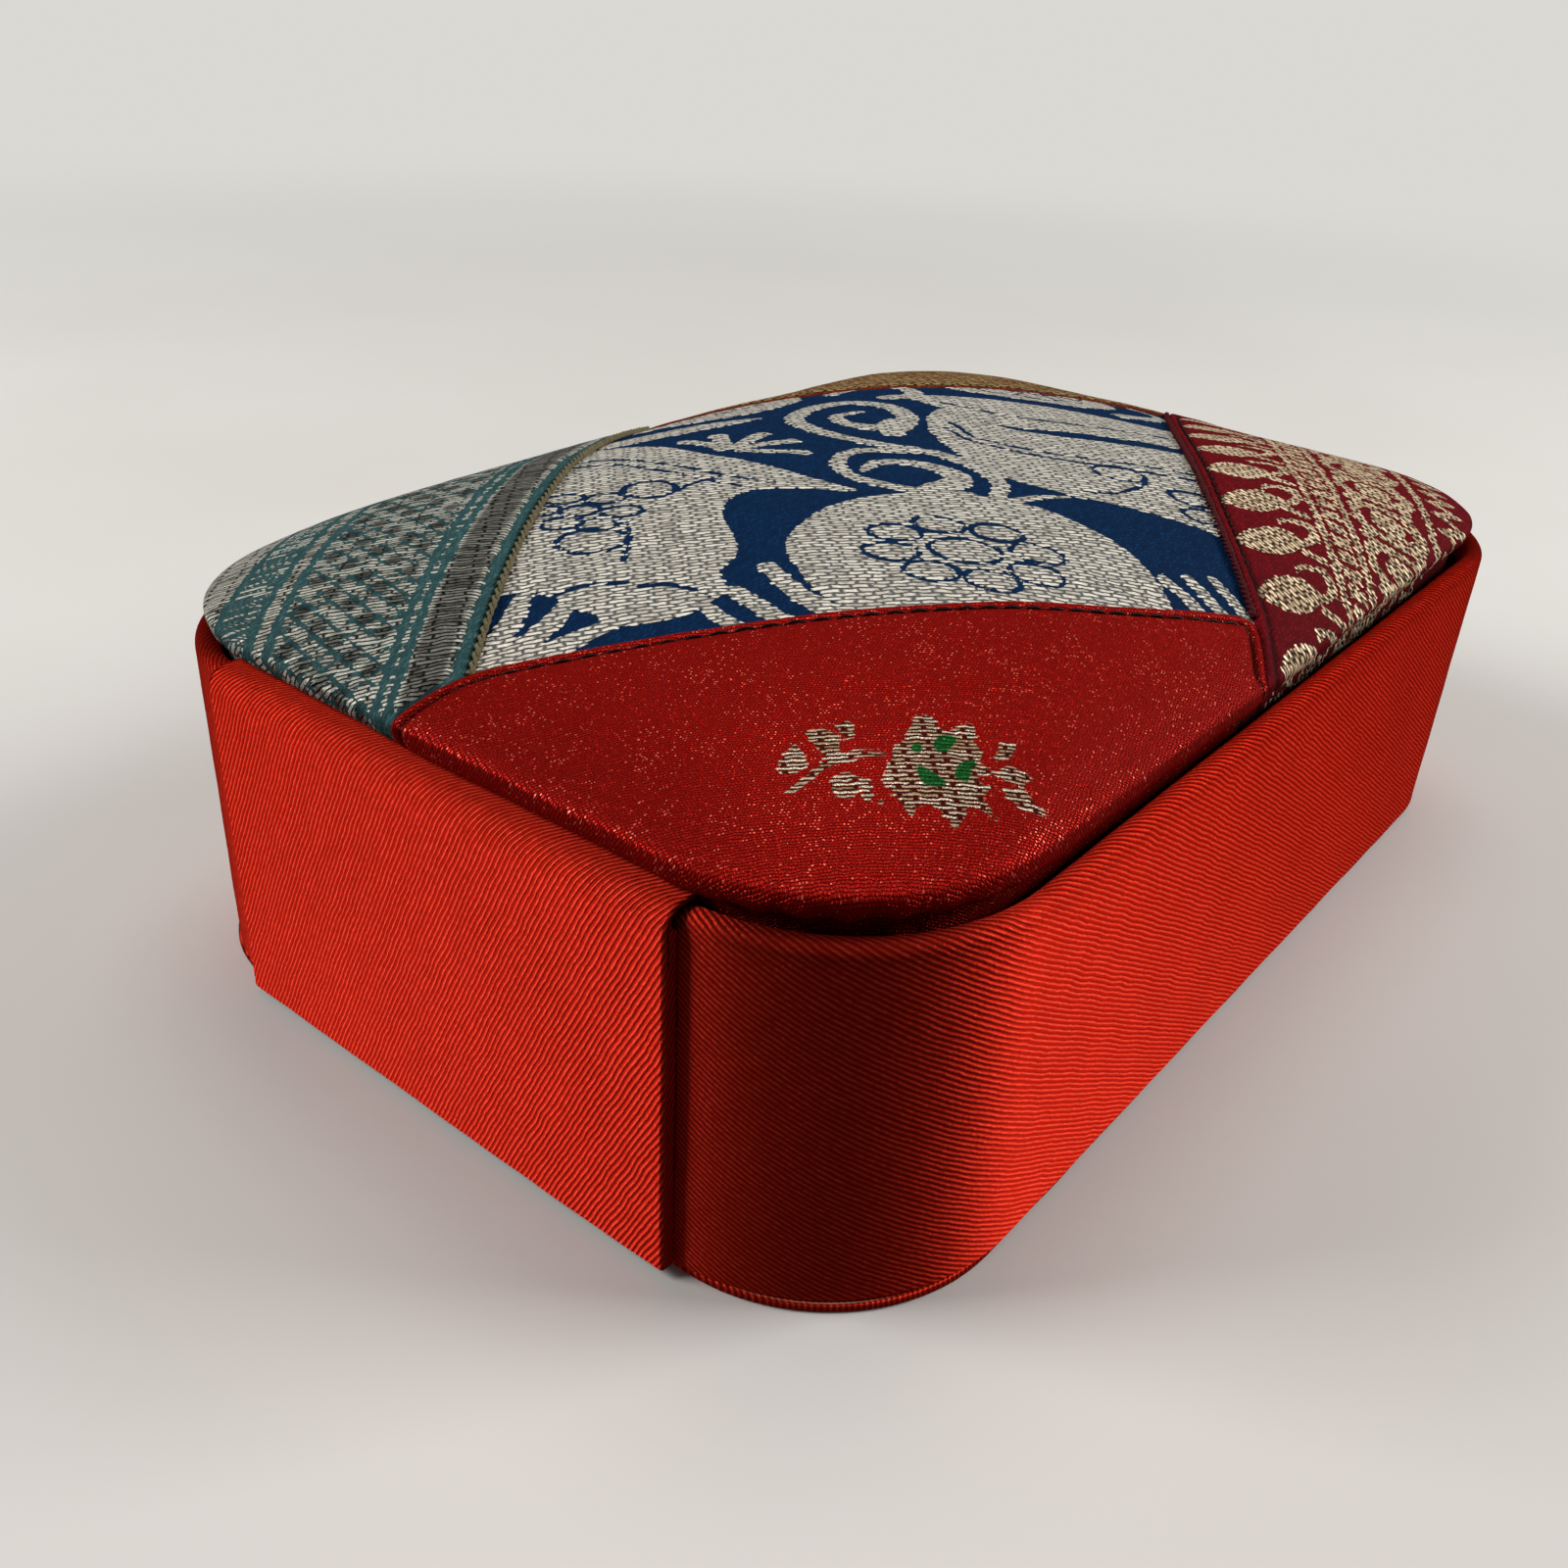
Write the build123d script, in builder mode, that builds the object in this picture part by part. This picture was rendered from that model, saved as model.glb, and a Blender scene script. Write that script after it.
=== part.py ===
from build123d import *
import os

# A cloth-covered keepsake case with a hinged, padded patchwork lid, in millimetres.
# The origin is the middle of the underside, +Z is up, +Y points at the spine, where the lid is
# hinged, and -Y at the free front. The case is made of bent greyboard covered in ribbed satin.

# Driving sizes of the case
case_width = 137.0  # X, over the covered walls
case_length = 201.0  # Y, over the covered walls, without the spine panel
wall_height = 50.0  # covered wall, from the base to the rim
corner_radius = 30.0  # outer face of the bent wall
satin = 0.4  # thickness of the ribbed satin
wall_board = 2.4  # greyboard band of the outer wall
board_bevel = 0.5  # the pulled cloth crushes the band's cut edges by this much
rim_bevel = 0.8  # the rim's inner edge, which the lid hides
turn_in = 15.0  # how far a cloth is glued down over an edge

# Base
base_card = 0.8
base_setback = 0.5  # the base stands back from the straight walls
base_corner_radius = 27.0  # tighter than the wall, so the base peeks out at the corners
floor_board = 2.0
board_fit = 0.1  # play round a board that stands inside the wall

# Inner wall that the lid rests on
lining_board = 2.4
ledge_drop = 3.9  # from the rim down to the ledge

# Floor pad
floor_card = 1.0
floor_foam = 4.0
pad_play = 0.4  # between the floor pad and the lining
pad_crown = 1.2
pad_side_share = 0.6
hem = 12.0  # cloth turned under a card or board

# Spine panel and hinge cloth
spine_width = 82.0
spine_board = 1.5
hinge_roll = 3.0  # outer radius of the cloth where it rolls over the rim
hinge_lining = 0.3
hinge_play = 0.1  # between the hinge lining and the rim

# Lid
lid_setback = 2.6  # the lid's widest line stands this far inside the wall's outer face
hinge_setback = 1.2  # the same at the spine, where the cloth draws the lid back
lid_overhang = 2.6  # the padding bulges this far past the covered board
lid_corner_radius = 29.0
lid_board = 2.0
patch_cloth = 0.5  # brocade and its backing
seat_gap = 0.3  # between the lid and its ledge
bulge_start = 1.0  # from the rim up to where the padding starts to bulge
bulge_rise = 3.2  # from there up to the lid's widest line
crown_height = 14.8  # from the widest line up to the crown
lining_card = 1.0
lining_play = 0.8  # between the lid's lining panel and the ledge

# Shape of a crown: the sections' sizes as shares of the widest outline, and the powers of its curve
lid_crown_shares = (0.985, 0.955, 0.91, 0.85, 0.77, 0.67, 0.55, 0.41, 0.27, 0.12)
pad_crown_shares = (0.96, 0.75)
crown_power_share = 2.8
edge_power_share = 0.8
top_corner_share = 0.85
lower_bulge_share = 0.3

# Seams of the patchwork, as shares of the lid's half width and half length
rear_corner_shares = (0.04, 0.91)
right_corner_shares = (-0.9, 0.035)
front_corner_shares = (-0.015, -0.89)
left_corner_shares = (0.9, 0.0)
rear_edge_shares = (0.085, 1.02)
right_edge_shares = (-1.02, 0.14)
front_edge_shares = (-0.06, -1.02)
left_edge_shares = (1.02, -0.06)
red_seam_bow = 5.0  # how far each seam bows out towards its corner of the lid
maroon_seam_bow = -4.0
rust_seam_bow = -6.0
teal_seam_bow = 2.5

# Worked out from the sizes above
base_top = base_card + satin
rim_z = base_top + wall_height
wall = wall_board + 2 * satin
lining = lining_board + 2 * satin
spine = spine_board + satin
spine_y = (case_length + spine) / 2
tray_y = -spine / 2
wall_rear_y = tray_y + case_length / 2
wall_front_y = tray_y - case_length / 2
rim_roll = wall / 2 - satin / 2
ledge_z = rim_z - ledge_drop
floor_z = base_top + floor_board
hinge_z = rim_z + hinge_play + hinge_lining + satin
spine_top = hinge_z - hinge_roll
lid_half_width = case_width / 2 - lid_setback
lid_rear_y = wall_rear_y - hinge_setback
lid_front_y = wall_front_y + lid_setback
lid_half_length = (lid_rear_y - lid_front_y) / 2
lid_y = (lid_rear_y + lid_front_y) / 2
lid_seat_z = ledge_z + seat_gap
board_z = lid_seat_z + patch_cloth
bulge_z = rim_z + bulge_start
widest_z = bulge_z + bulge_rise
overrun = case_width

os.makedirs("parts", exist_ok=True)


def save(part, name):
    """Label one finished piece and write it to its own file."""
    part.label = name
    export_step(part, f"parts/{name}.step")


def outline(z, inset, radius=corner_radius, width=case_width, length=case_length, centre_y=tray_y):
    """A rounded rectangle on the plane at height z, drawn in by inset on every side."""
    with BuildSketch(Plane.XY.offset(z)) as sketch:
        with Locations((0, centre_y)):
            RectangleRounded(width - 2 * inset, length - 2 * inset, radius - inset)
    return sketch.sketch


def crown_section(z, share, width, length, radius, centre_y):
    """A section of a crown: smaller towards the top, with rounder corners."""
    half = width * share / 2
    edge_share = radius * 2 / width
    round_share = edge_share + (top_corner_share - edge_share) * (1 - share)
    with BuildSketch(Plane.XY.offset(z)) as sketch:
        with Locations((0, centre_y)):
            RectangleRounded(2 * half, length * share, half * round_share)
    return sketch.sketch


def crowned(width, length, radius, centre_y, bottom, side_top, draw_in, rise, crown, shares):
    """A closed cushion: straight drawn-in side, bulge out to the widest line, then the crown."""
    widest = side_top + rise
    with BuildPart() as cushion:
        with BuildSketch(Plane.XY.offset(bottom)):
            with Locations((0, centre_y)):
                RectangleRounded(width - 2 * draw_in, length - 2 * draw_in, radius - draw_in)
        extrude(amount=side_top - bottom)
        add(outline(side_top, draw_in, radius, width, length, centre_y))
        add(outline(side_top + rise * lower_bulge_share, draw_in * lower_bulge_share,
                    radius, width, length, centre_y))
        add(outline(widest, 0, radius, width, length, centre_y))
        for share in shares:
            height = crown * (1 - share**crown_power_share) ** edge_power_share
            add(crown_section(widest + height, share, width, length, radius, centre_y))
        loft(ruled=True)
    return cushion.part


# Base card, with its satin turned up round the edge and in over the top
with BuildPart() as base_card_piece:
    add(outline(satin, base_setback + satin, base_corner_radius + base_setback))
    extrude(amount=base_card)
save(base_card_piece.part, "base_card")

with BuildPart() as base_cover:
    add(outline(0, base_setback, base_corner_radius + base_setback))
    extrude(amount=base_top)
    add(base_card_piece.part, mode=Mode.SUBTRACT)
save(base_cover.part, "base_cover")

# Outer wall: one bent band of greyboard
with BuildPart() as wall_band:
    add(outline(base_top + satin, satin))
    extrude(amount=wall_height - 2 * satin)
    add(outline(base_top + satin, satin + wall_board))
    extrude(amount=wall_height - 2 * satin, mode=Mode.SUBTRACT)
    chamfer(wall_band.edges().group_by(Axis.Z)[-1], board_bevel)
save(wall_band.part, "wall_board")

# Its satin goes from under the band, up the outside, over the rim and down inside
with BuildPart() as wall_cover:
    add(outline(base_top, 0))
    extrude(amount=wall_height)
    add(outline(base_top, wall))
    extrude(amount=wall_height, mode=Mode.SUBTRACT)
    fillet(wall_cover.faces().sort_by(Axis.Z)[-1].outer_wire().edges(), rim_roll)
    chamfer(wall_cover.faces().sort_by(Axis.Z)[-1].inner_wires()[0].edges(), rim_bevel)
    add(wall_band.part, mode=Mode.SUBTRACT)
    add(outline(base_top, satin + wall_board))
    extrude(amount=wall_height - turn_in, mode=Mode.SUBTRACT)
save(wall_cover.part, "wall_cover")

# Floor board, standing inside the wall on the base
with BuildPart() as floor_board_piece:
    add(outline(base_top, satin + wall_board + board_fit))
    extrude(amount=floor_board)
save(floor_board_piece.part, "floor_board")

# Inner wall: its top edge is the ledge that carries the lid
with BuildPart() as lining_band:
    add(outline(floor_z, wall + satin))
    extrude(amount=ledge_z - satin - floor_z)
    add(outline(floor_z, wall + satin + lining_board))
    extrude(amount=ledge_z - satin - floor_z, mode=Mode.SUBTRACT)
save(lining_band.part, "lining_board")

with BuildPart() as lining_cloth:
    add(outline(floor_z, wall))
    extrude(amount=ledge_z - floor_z)
    add(outline(floor_z, wall + lining))
    extrude(amount=ledge_z - floor_z, mode=Mode.SUBTRACT)
    add(lining_band.part, mode=Mode.SUBTRACT)
    with BuildSketch(Plane.XY.offset(floor_z)):
        add(outline(floor_z, wall))
        add(outline(floor_z, wall + satin), mode=Mode.SUBTRACT)
    extrude(amount=ledge_z - turn_in - floor_z, mode=Mode.SUBTRACT)
save(lining_cloth.part, "lining_cloth")

# Floor pad: a card, a thin foam and one cloth round both, hemmed under the card
pad_inset = wall + lining + pad_play
pad_width = case_width - 2 * pad_inset
pad_length = case_length - 2 * pad_inset
pad_radius = corner_radius - pad_inset
card_z = floor_z + satin
foam_z = card_z + floor_card
with BuildPart() as floor_card_piece:
    add(outline(card_z, pad_inset + 2 * satin))
    extrude(amount=floor_card)
save(floor_card_piece.part, "floor_card")

pad_core = crowned(pad_width - 2 * satin, pad_length - 2 * satin, pad_radius - satin, tray_y,
                   card_z, foam_z + floor_foam * pad_side_share, satin,
                   floor_foam * (1 - pad_side_share), pad_crown, pad_crown_shares)
with BuildPart() as floor_padding:
    add(pad_core)
    add(outline(card_z, pad_inset))
    extrude(amount=floor_card, mode=Mode.SUBTRACT)
save(floor_padding.part, "floor_padding")

with BuildPart() as floor_cloth:
    add(crowned(pad_width, pad_length, pad_radius, tray_y, floor_z,
                foam_z + floor_foam * pad_side_share, satin,
                floor_foam * (1 - pad_side_share), pad_crown + satin, pad_crown_shares))
    add(pad_core, mode=Mode.SUBTRACT)
    add(floor_card_piece.part, mode=Mode.SUBTRACT)
    add(outline(floor_z, pad_inset + hem))
    extrude(amount=satin, mode=Mode.SUBTRACT)
save(floor_cloth.part, "floor_cloth")

# Spine panel: a flat board on the outside of the rear wall, its satin wrapped round three edges
spine_height = spine_top - base_top
with BuildPart() as spine_board_piece:
    with BuildSketch(Plane.XY.offset(base_top + satin)):
        with Locations((0, wall_rear_y)):
            Rectangle(spine_width - 2 * satin, spine_board, align=(Align.CENTER, Align.MIN))
    extrude(amount=spine_height - satin)
save(spine_board_piece.part, "spine_board")

with BuildPart() as spine_cover:
    with BuildSketch(Plane.XY.offset(base_top)):
        with Locations((0, wall_rear_y)):
            Rectangle(spine_width, spine, align=(Align.CENTER, Align.MIN))
    extrude(amount=spine_height)
    fillet(spine_cover.edges().filter_by(Axis.Z).group_by(Axis.Y)[-1], satin)
    add(spine_board_piece.part, mode=Mode.SUBTRACT)
save(spine_cover.part, "spine_cover")


def hinge_strip(radius, thickness, end_y):
    """A strip that rolls in from the top of the spine and lies over the rim up to the lid."""
    roll_y = spine_y - hinge_roll
    with BuildPart() as strip:
        with BuildSketch(Plane.YZ.offset(-spine_width / 2)):
            with BuildLine():
                outer_roll = RadiusArc((roll_y + radius, spine_top), (roll_y, spine_top + radius), -radius)
                top = Line(outer_roll @ 1, (end_y, spine_top + radius))
                end = Line(top @ 1, (end_y, spine_top + radius - thickness))
                under = Line(end @ 1, (roll_y, spine_top + radius - thickness))
                inner = radius - thickness
                inner_roll = RadiusArc(under @ 1, (roll_y + inner, spine_top), inner)
                Line(inner_roll @ 1, outer_roll @ 0)
            make_face()
        extrude(amount=spine_width)
    return strip.part


lid_edge_y = lid_rear_y - lid_overhang
save(hinge_strip(hinge_roll, satin, lid_edge_y), "hinge_cloth")
save(hinge_strip(hinge_roll - satin, hinge_lining, lid_edge_y), "hinge_lining")

# Lid board
lid_width = 2 * lid_half_width
lid_length = 2 * lid_half_length
board_inset = lid_overhang + patch_cloth
with BuildPart() as lid_board_piece:
    add(outline(board_z, board_inset, lid_corner_radius, lid_width, lid_length, lid_y))
    extrude(amount=lid_board)
save(lid_board_piece.part, "lid_board")

# Crowned padding on the board
lid_core = crowned(lid_width - 2 * patch_cloth, lid_length - 2 * patch_cloth,
                   lid_corner_radius - patch_cloth, lid_y, board_z, bulge_z, lid_overhang,
                   bulge_rise, crown_height - patch_cloth, lid_crown_shares)
with BuildPart() as lid_padding:
    add(lid_core)
    add(outline(board_z, 0, lid_corner_radius, lid_width, lid_length, lid_y))
    extrude(amount=lid_board, mode=Mode.SUBTRACT)
save(lid_padding.part, "lid_padding")

# The patchwork is one skin over padding and board, hemmed under the board, cut along its seams
with BuildPart() as lid_skin:
    add(crowned(lid_width, lid_length, lid_corner_radius, lid_y, lid_seat_z, bulge_z,
                lid_overhang, bulge_rise, crown_height, lid_crown_shares))
    add(lid_core, mode=Mode.SUBTRACT)
    add(outline(lid_seat_z, lid_overhang + hem, lid_corner_radius, lid_width, lid_length, lid_y))
    extrude(amount=patch_cloth, mode=Mode.SUBTRACT)


def on_lid(shares):
    """A place on the lid in plan, from shares of its half width and half length."""
    return Vector(shares[0] * lid_half_width, lid_y + shares[1] * lid_half_length)


def bowed(start, end, bow):
    """The middle point of a seam that leaves its chord by bow, away from the lid's middle."""
    middle = (start + end) / 2
    across = (end - start).rotate(Axis.Z, 90).normalized()
    away = middle - Vector(0, lid_y)
    side = 1 if across.dot(away) > 0 else -1
    return middle + across * (side * bow)


corners = [on_lid(s) for s in (rear_corner_shares, right_corner_shares,
                               front_corner_shares, left_corner_shares)]
edges = [on_lid(s) for s in (rear_edge_shares, right_edge_shares,
                             front_edge_shares, left_edge_shares)]
seam_bows = (red_seam_bow, maroon_seam_bow, rust_seam_bow, teal_seam_bow)
seam_middles = [bowed(corners[i], corners[(i + 1) % len(corners)], bow)
                for i, bow in enumerate(seam_bows)]

with BuildPart() as patch_navy:
    with BuildSketch(Plane.XY.offset(board_z)):
        with BuildLine():
            for i, middle in enumerate(seam_middles):
                ThreePointArc(corners[i], middle, corners[(i + 1) % len(corners)])
        make_face()
    extrude(amount=overrun)
    add(lid_skin.part, mode=Mode.INTERSECT)
save(patch_navy.part, "patch_navy")

# The four corner patches also hold the hem under the board, parted on lines from the lid's middle
lid_middle = Vector(0, lid_y)
for i, name in enumerate(("patch_red", "patch_maroon", "patch_rust", "patch_teal")):
    after = (i + 1) % len(corners)
    side, end = (edges[after], edges[i]) if i % 2 == 0 else (edges[i], edges[after])
    tip = Vector(side.X, end.Y)
    with BuildPart() as patch:
        with BuildSketch():
            with BuildLine():
                Polyline(lid_middle, edges[after], tip, edges[i], close=True)
            make_face()
        extrude(amount=board_z)
        with BuildSketch(Plane.XY.offset(board_z)):
            with BuildLine():
                ThreePointArc(corners[i], seam_middles[i], corners[after])
                Polyline(corners[after], edges[after], tip, edges[i], corners[i])
            make_face()
        extrude(amount=overrun)
        add(lid_skin.part, mode=Mode.INTERSECT)
    save(patch.part, name)

# Lining panel under the lid, which hides the hems and drops inside the ledge
panel_inset = wall + lining + lining_play
with BuildPart() as lid_lining_card:
    add(outline(lid_seat_z - lining_card, panel_inset + satin))
    extrude(amount=lining_card)
save(lid_lining_card.part, "lid_lining_card")

with BuildPart() as lid_lining_cloth:
    add(outline(lid_seat_z - lining_card - satin, panel_inset))
    extrude(amount=lining_card + satin)
    chamfer(lid_lining_cloth.edges().group_by(Axis.Z)[0], satin)
    add(lid_lining_card.part, mode=Mode.SUBTRACT)
save(lid_lining_cloth.part, "lid_lining_cloth")
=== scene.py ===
# %% [markdown]
# # A brocade keepsake case
# A cardboard case covered in ribbed red satin, with a padded lid pieced from five brocades. The lid
# swings on a cloth hinge along the top of the spine panel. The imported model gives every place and
# size, and this file makes the cloth: its folds, seams, stitches, weave and figures.

import bpy
import numpy as np
from mathutils import Matrix, Vector


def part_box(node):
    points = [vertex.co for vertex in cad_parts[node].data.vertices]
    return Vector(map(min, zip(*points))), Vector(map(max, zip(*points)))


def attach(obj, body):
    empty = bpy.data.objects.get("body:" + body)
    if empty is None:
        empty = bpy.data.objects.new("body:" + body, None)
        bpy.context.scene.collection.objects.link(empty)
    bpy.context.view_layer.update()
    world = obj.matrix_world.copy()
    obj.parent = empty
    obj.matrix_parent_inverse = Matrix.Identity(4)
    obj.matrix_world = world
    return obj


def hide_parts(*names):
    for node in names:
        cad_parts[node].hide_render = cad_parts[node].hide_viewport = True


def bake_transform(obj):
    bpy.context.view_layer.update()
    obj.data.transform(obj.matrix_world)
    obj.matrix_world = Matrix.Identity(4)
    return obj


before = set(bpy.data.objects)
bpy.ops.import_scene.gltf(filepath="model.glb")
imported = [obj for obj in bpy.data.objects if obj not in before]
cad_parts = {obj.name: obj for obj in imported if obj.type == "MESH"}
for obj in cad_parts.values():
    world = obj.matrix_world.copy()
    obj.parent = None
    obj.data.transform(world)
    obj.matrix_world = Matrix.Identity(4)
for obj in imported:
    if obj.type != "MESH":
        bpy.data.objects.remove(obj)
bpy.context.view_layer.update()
MM = 0.001

# %% [markdown]
# ## Sizes read from the model
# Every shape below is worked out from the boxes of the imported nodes, in millimetres, so a surface
# lies where its solid is. Only sizes that no box shows, such as a corner's radius, are given here.

# %% Sizes
def span(*nodes):
    """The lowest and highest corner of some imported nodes, in millimetres."""
    lows, highs = zip(*(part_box(node) for node in nodes))
    return np.min(lows, axis=0) / MM, np.max(highs, axis=0) / MM


def half_of(low, high):
    """Half the size of a box in plan."""
    return (high - low)[:2] / 2


wall_low, wall_high = span("wall_cover")
wall_half = half_of(wall_low, wall_high)
wall_middle_y = (wall_high[1] + wall_low[1]) / 2
wall_radius = 30.0
wall_thickness = 3.2
rim_z = wall_high[2]
lid_low, lid_high = span(*(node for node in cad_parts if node.startswith("patch_")))
lid_half = half_of(lid_low, lid_high)
lid_middle = np.array([0, (lid_high[1] + lid_low[1]) / 2])
lid_radius = 29.0
lid_overhang = 2.6
bulge_rise = 3.2
skirt_top = rim_z + 1.0
widest_z = skirt_top + bulge_rise
crown_height = lid_high[2] + 0.1 - widest_z
skirt_drop = skirt_top - lid_low[2]
hem_width = 12.0
lid_heart = np.array([*lid_middle, widest_z - 12])
print("lid half sizes", lid_half.round(2), "crown", round(float(crown_height), 2))

# %% [markdown]
# ## Meshes from grids
# Cloth is a sheet, so each piece is a grid of points worked out by numpy: rows run one way over the
# cloth and columns the other. One function turns such a grid into a mesh, closes it into a ring
# where the cloth goes all round, and stores the flat cloth's own places as its UV map.

# %% From a grid to a mesh
def squares(index, ring=False):
    """The corners of each square in a grid of point numbers. In a ring the last column joins the
    first."""
    if ring:
        index = np.concatenate([index, index[..., :1]], axis=-1)
    corners = index[..., :-1, :-1], index[..., :-1, 1:], index[..., 1:, 1:], index[..., 1:, :-1]
    return np.stack(corners, axis=-1).reshape(-1, 4)


def new_mesh(name, points, faces, uv=None):
    """A smooth mesh from places in millimetres, with the flat cloth as its UV map."""
    mesh = bpy.data.meshes.new(name)
    mesh.from_pydata((points.reshape(-1, 3) * MM).tolist(), [], faces)
    layer = mesh.uv_layers.new(name="cloth")
    if uv is not None:
        layer.data.foreach_set("uv", uv.astype(np.float32).ravel())
    mesh.polygons.foreach_set("use_smooth", np.ones(len(mesh.polygons), bool))
    mesh.update()
    return mesh


def grid_mesh(name, points, uv, ring=False, caps=(False, False), flip=False):
    """A mesh from rows x columns x 3 places in millimetres. In a ring, uv has one column more than
    the points. The caps close the first and the last row with one face each."""
    rows, columns = points.shape[:2]
    index = np.arange(rows * columns).reshape(rows, columns)
    uv_index = np.arange(uv[..., 0].size).reshape(uv.shape[:2])
    turn = -1 if flip else 1
    faces = squares(index, ring)[:, ::turn].tolist()
    corners = [squares(uv_index)[:, ::turn].ravel()]
    for capped, row, way in zip(caps, (0, -1), (-turn, turn)):
        if capped:
            faces.append(index[row, ::way].tolist())
            corners.append(uv_index[row, :columns][::way])
    return new_mesh(name, points, faces, uv.reshape(-1, 2)[np.concatenate(corners)])


def piece(name, mesh, material, body):
    """An object for a mesh, with its finish, riding on a body of the case if one is given."""
    made = bpy.data.objects.new(name, mesh)
    bpy.context.scene.collection.objects.link(made)
    mesh.materials.append(material)
    if body:
        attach(made, body)
    print("made", name, len(mesh.polygons), "faces")
    return made


def with_field(mesh, name, values):
    """Stores one number for each point of a mesh, for the shader to read."""
    field = mesh.attributes.new(name, "FLOAT", "POINT")
    field.data.foreach_set("value", values.astype(np.float32).ravel())


def unit(vectors):
    """Vectors cut to length one, and zero where they have no length."""
    length = np.linalg.norm(vectors, axis=-1, keepdims=True)
    return vectors / np.maximum(length, 1e-9)


def normals_of(points, outward, ring=False):
    """Normals of a grid: the cross product of its steps along the rows and along the columns,
    turned to the side of the outward vectors."""
    if ring:
        wide = np.concatenate([points[:, -1:], points, points[:, :1]], axis=1)
        across = wide[:, 2:] - wide[:, :-2]
    else:
        across = np.gradient(points, axis=1)
    normals = unit(np.cross(across, np.gradient(points, axis=0)))
    return normals * np.sign((normals * outward).sum(-1, keepdims=True))


def lengths_along(points):
    """How far along a line each of its points lies."""
    steps = np.linalg.norm(np.diff(points, axis=0), axis=-1)
    return np.concatenate([[0], np.cumsum(steps)])


def ripples(x, y, longest, count, seed):
    """Gentle unevenness from -1 to 1: a sum of waves in seeded directions, the longest first."""
    random = np.random.default_rng(seed)
    total = np.zeros(np.broadcast(x, y).shape)
    for i in range(count):
        turn, phase = random.uniform(0, 2 * np.pi, 2)
        length = longest * 0.72**i
        total += np.sin((x * np.cos(turn) + y * np.sin(turn)) * 2 * np.pi / length + phase) * 0.8**i
    return total / sum(0.8**i for i in range(count))


# %% [markdown]
# ## Finishes
# Real cloth is threads, and the eye reads threads as rows of short floats that catch the light one
# by one. The brick texture lays out just that: rows, staggered cells and the gaps between them. So
# each cloth is drawn with bricks on its own UV map, which is in millimetres of flat cloth.

# %% Colours and nodes
def tint(code):
    """An sRGB hex colour as linear light, with full alpha."""
    share = np.array([int(code[i:i + 2], 16) / 255 for i in (0, 2, 4)])
    linear = np.where(share <= 0.04045, share / 12.92, ((share + 0.055) / 1.055) ** 2.4)
    return (*linear.tolist(), 1.0)


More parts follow.
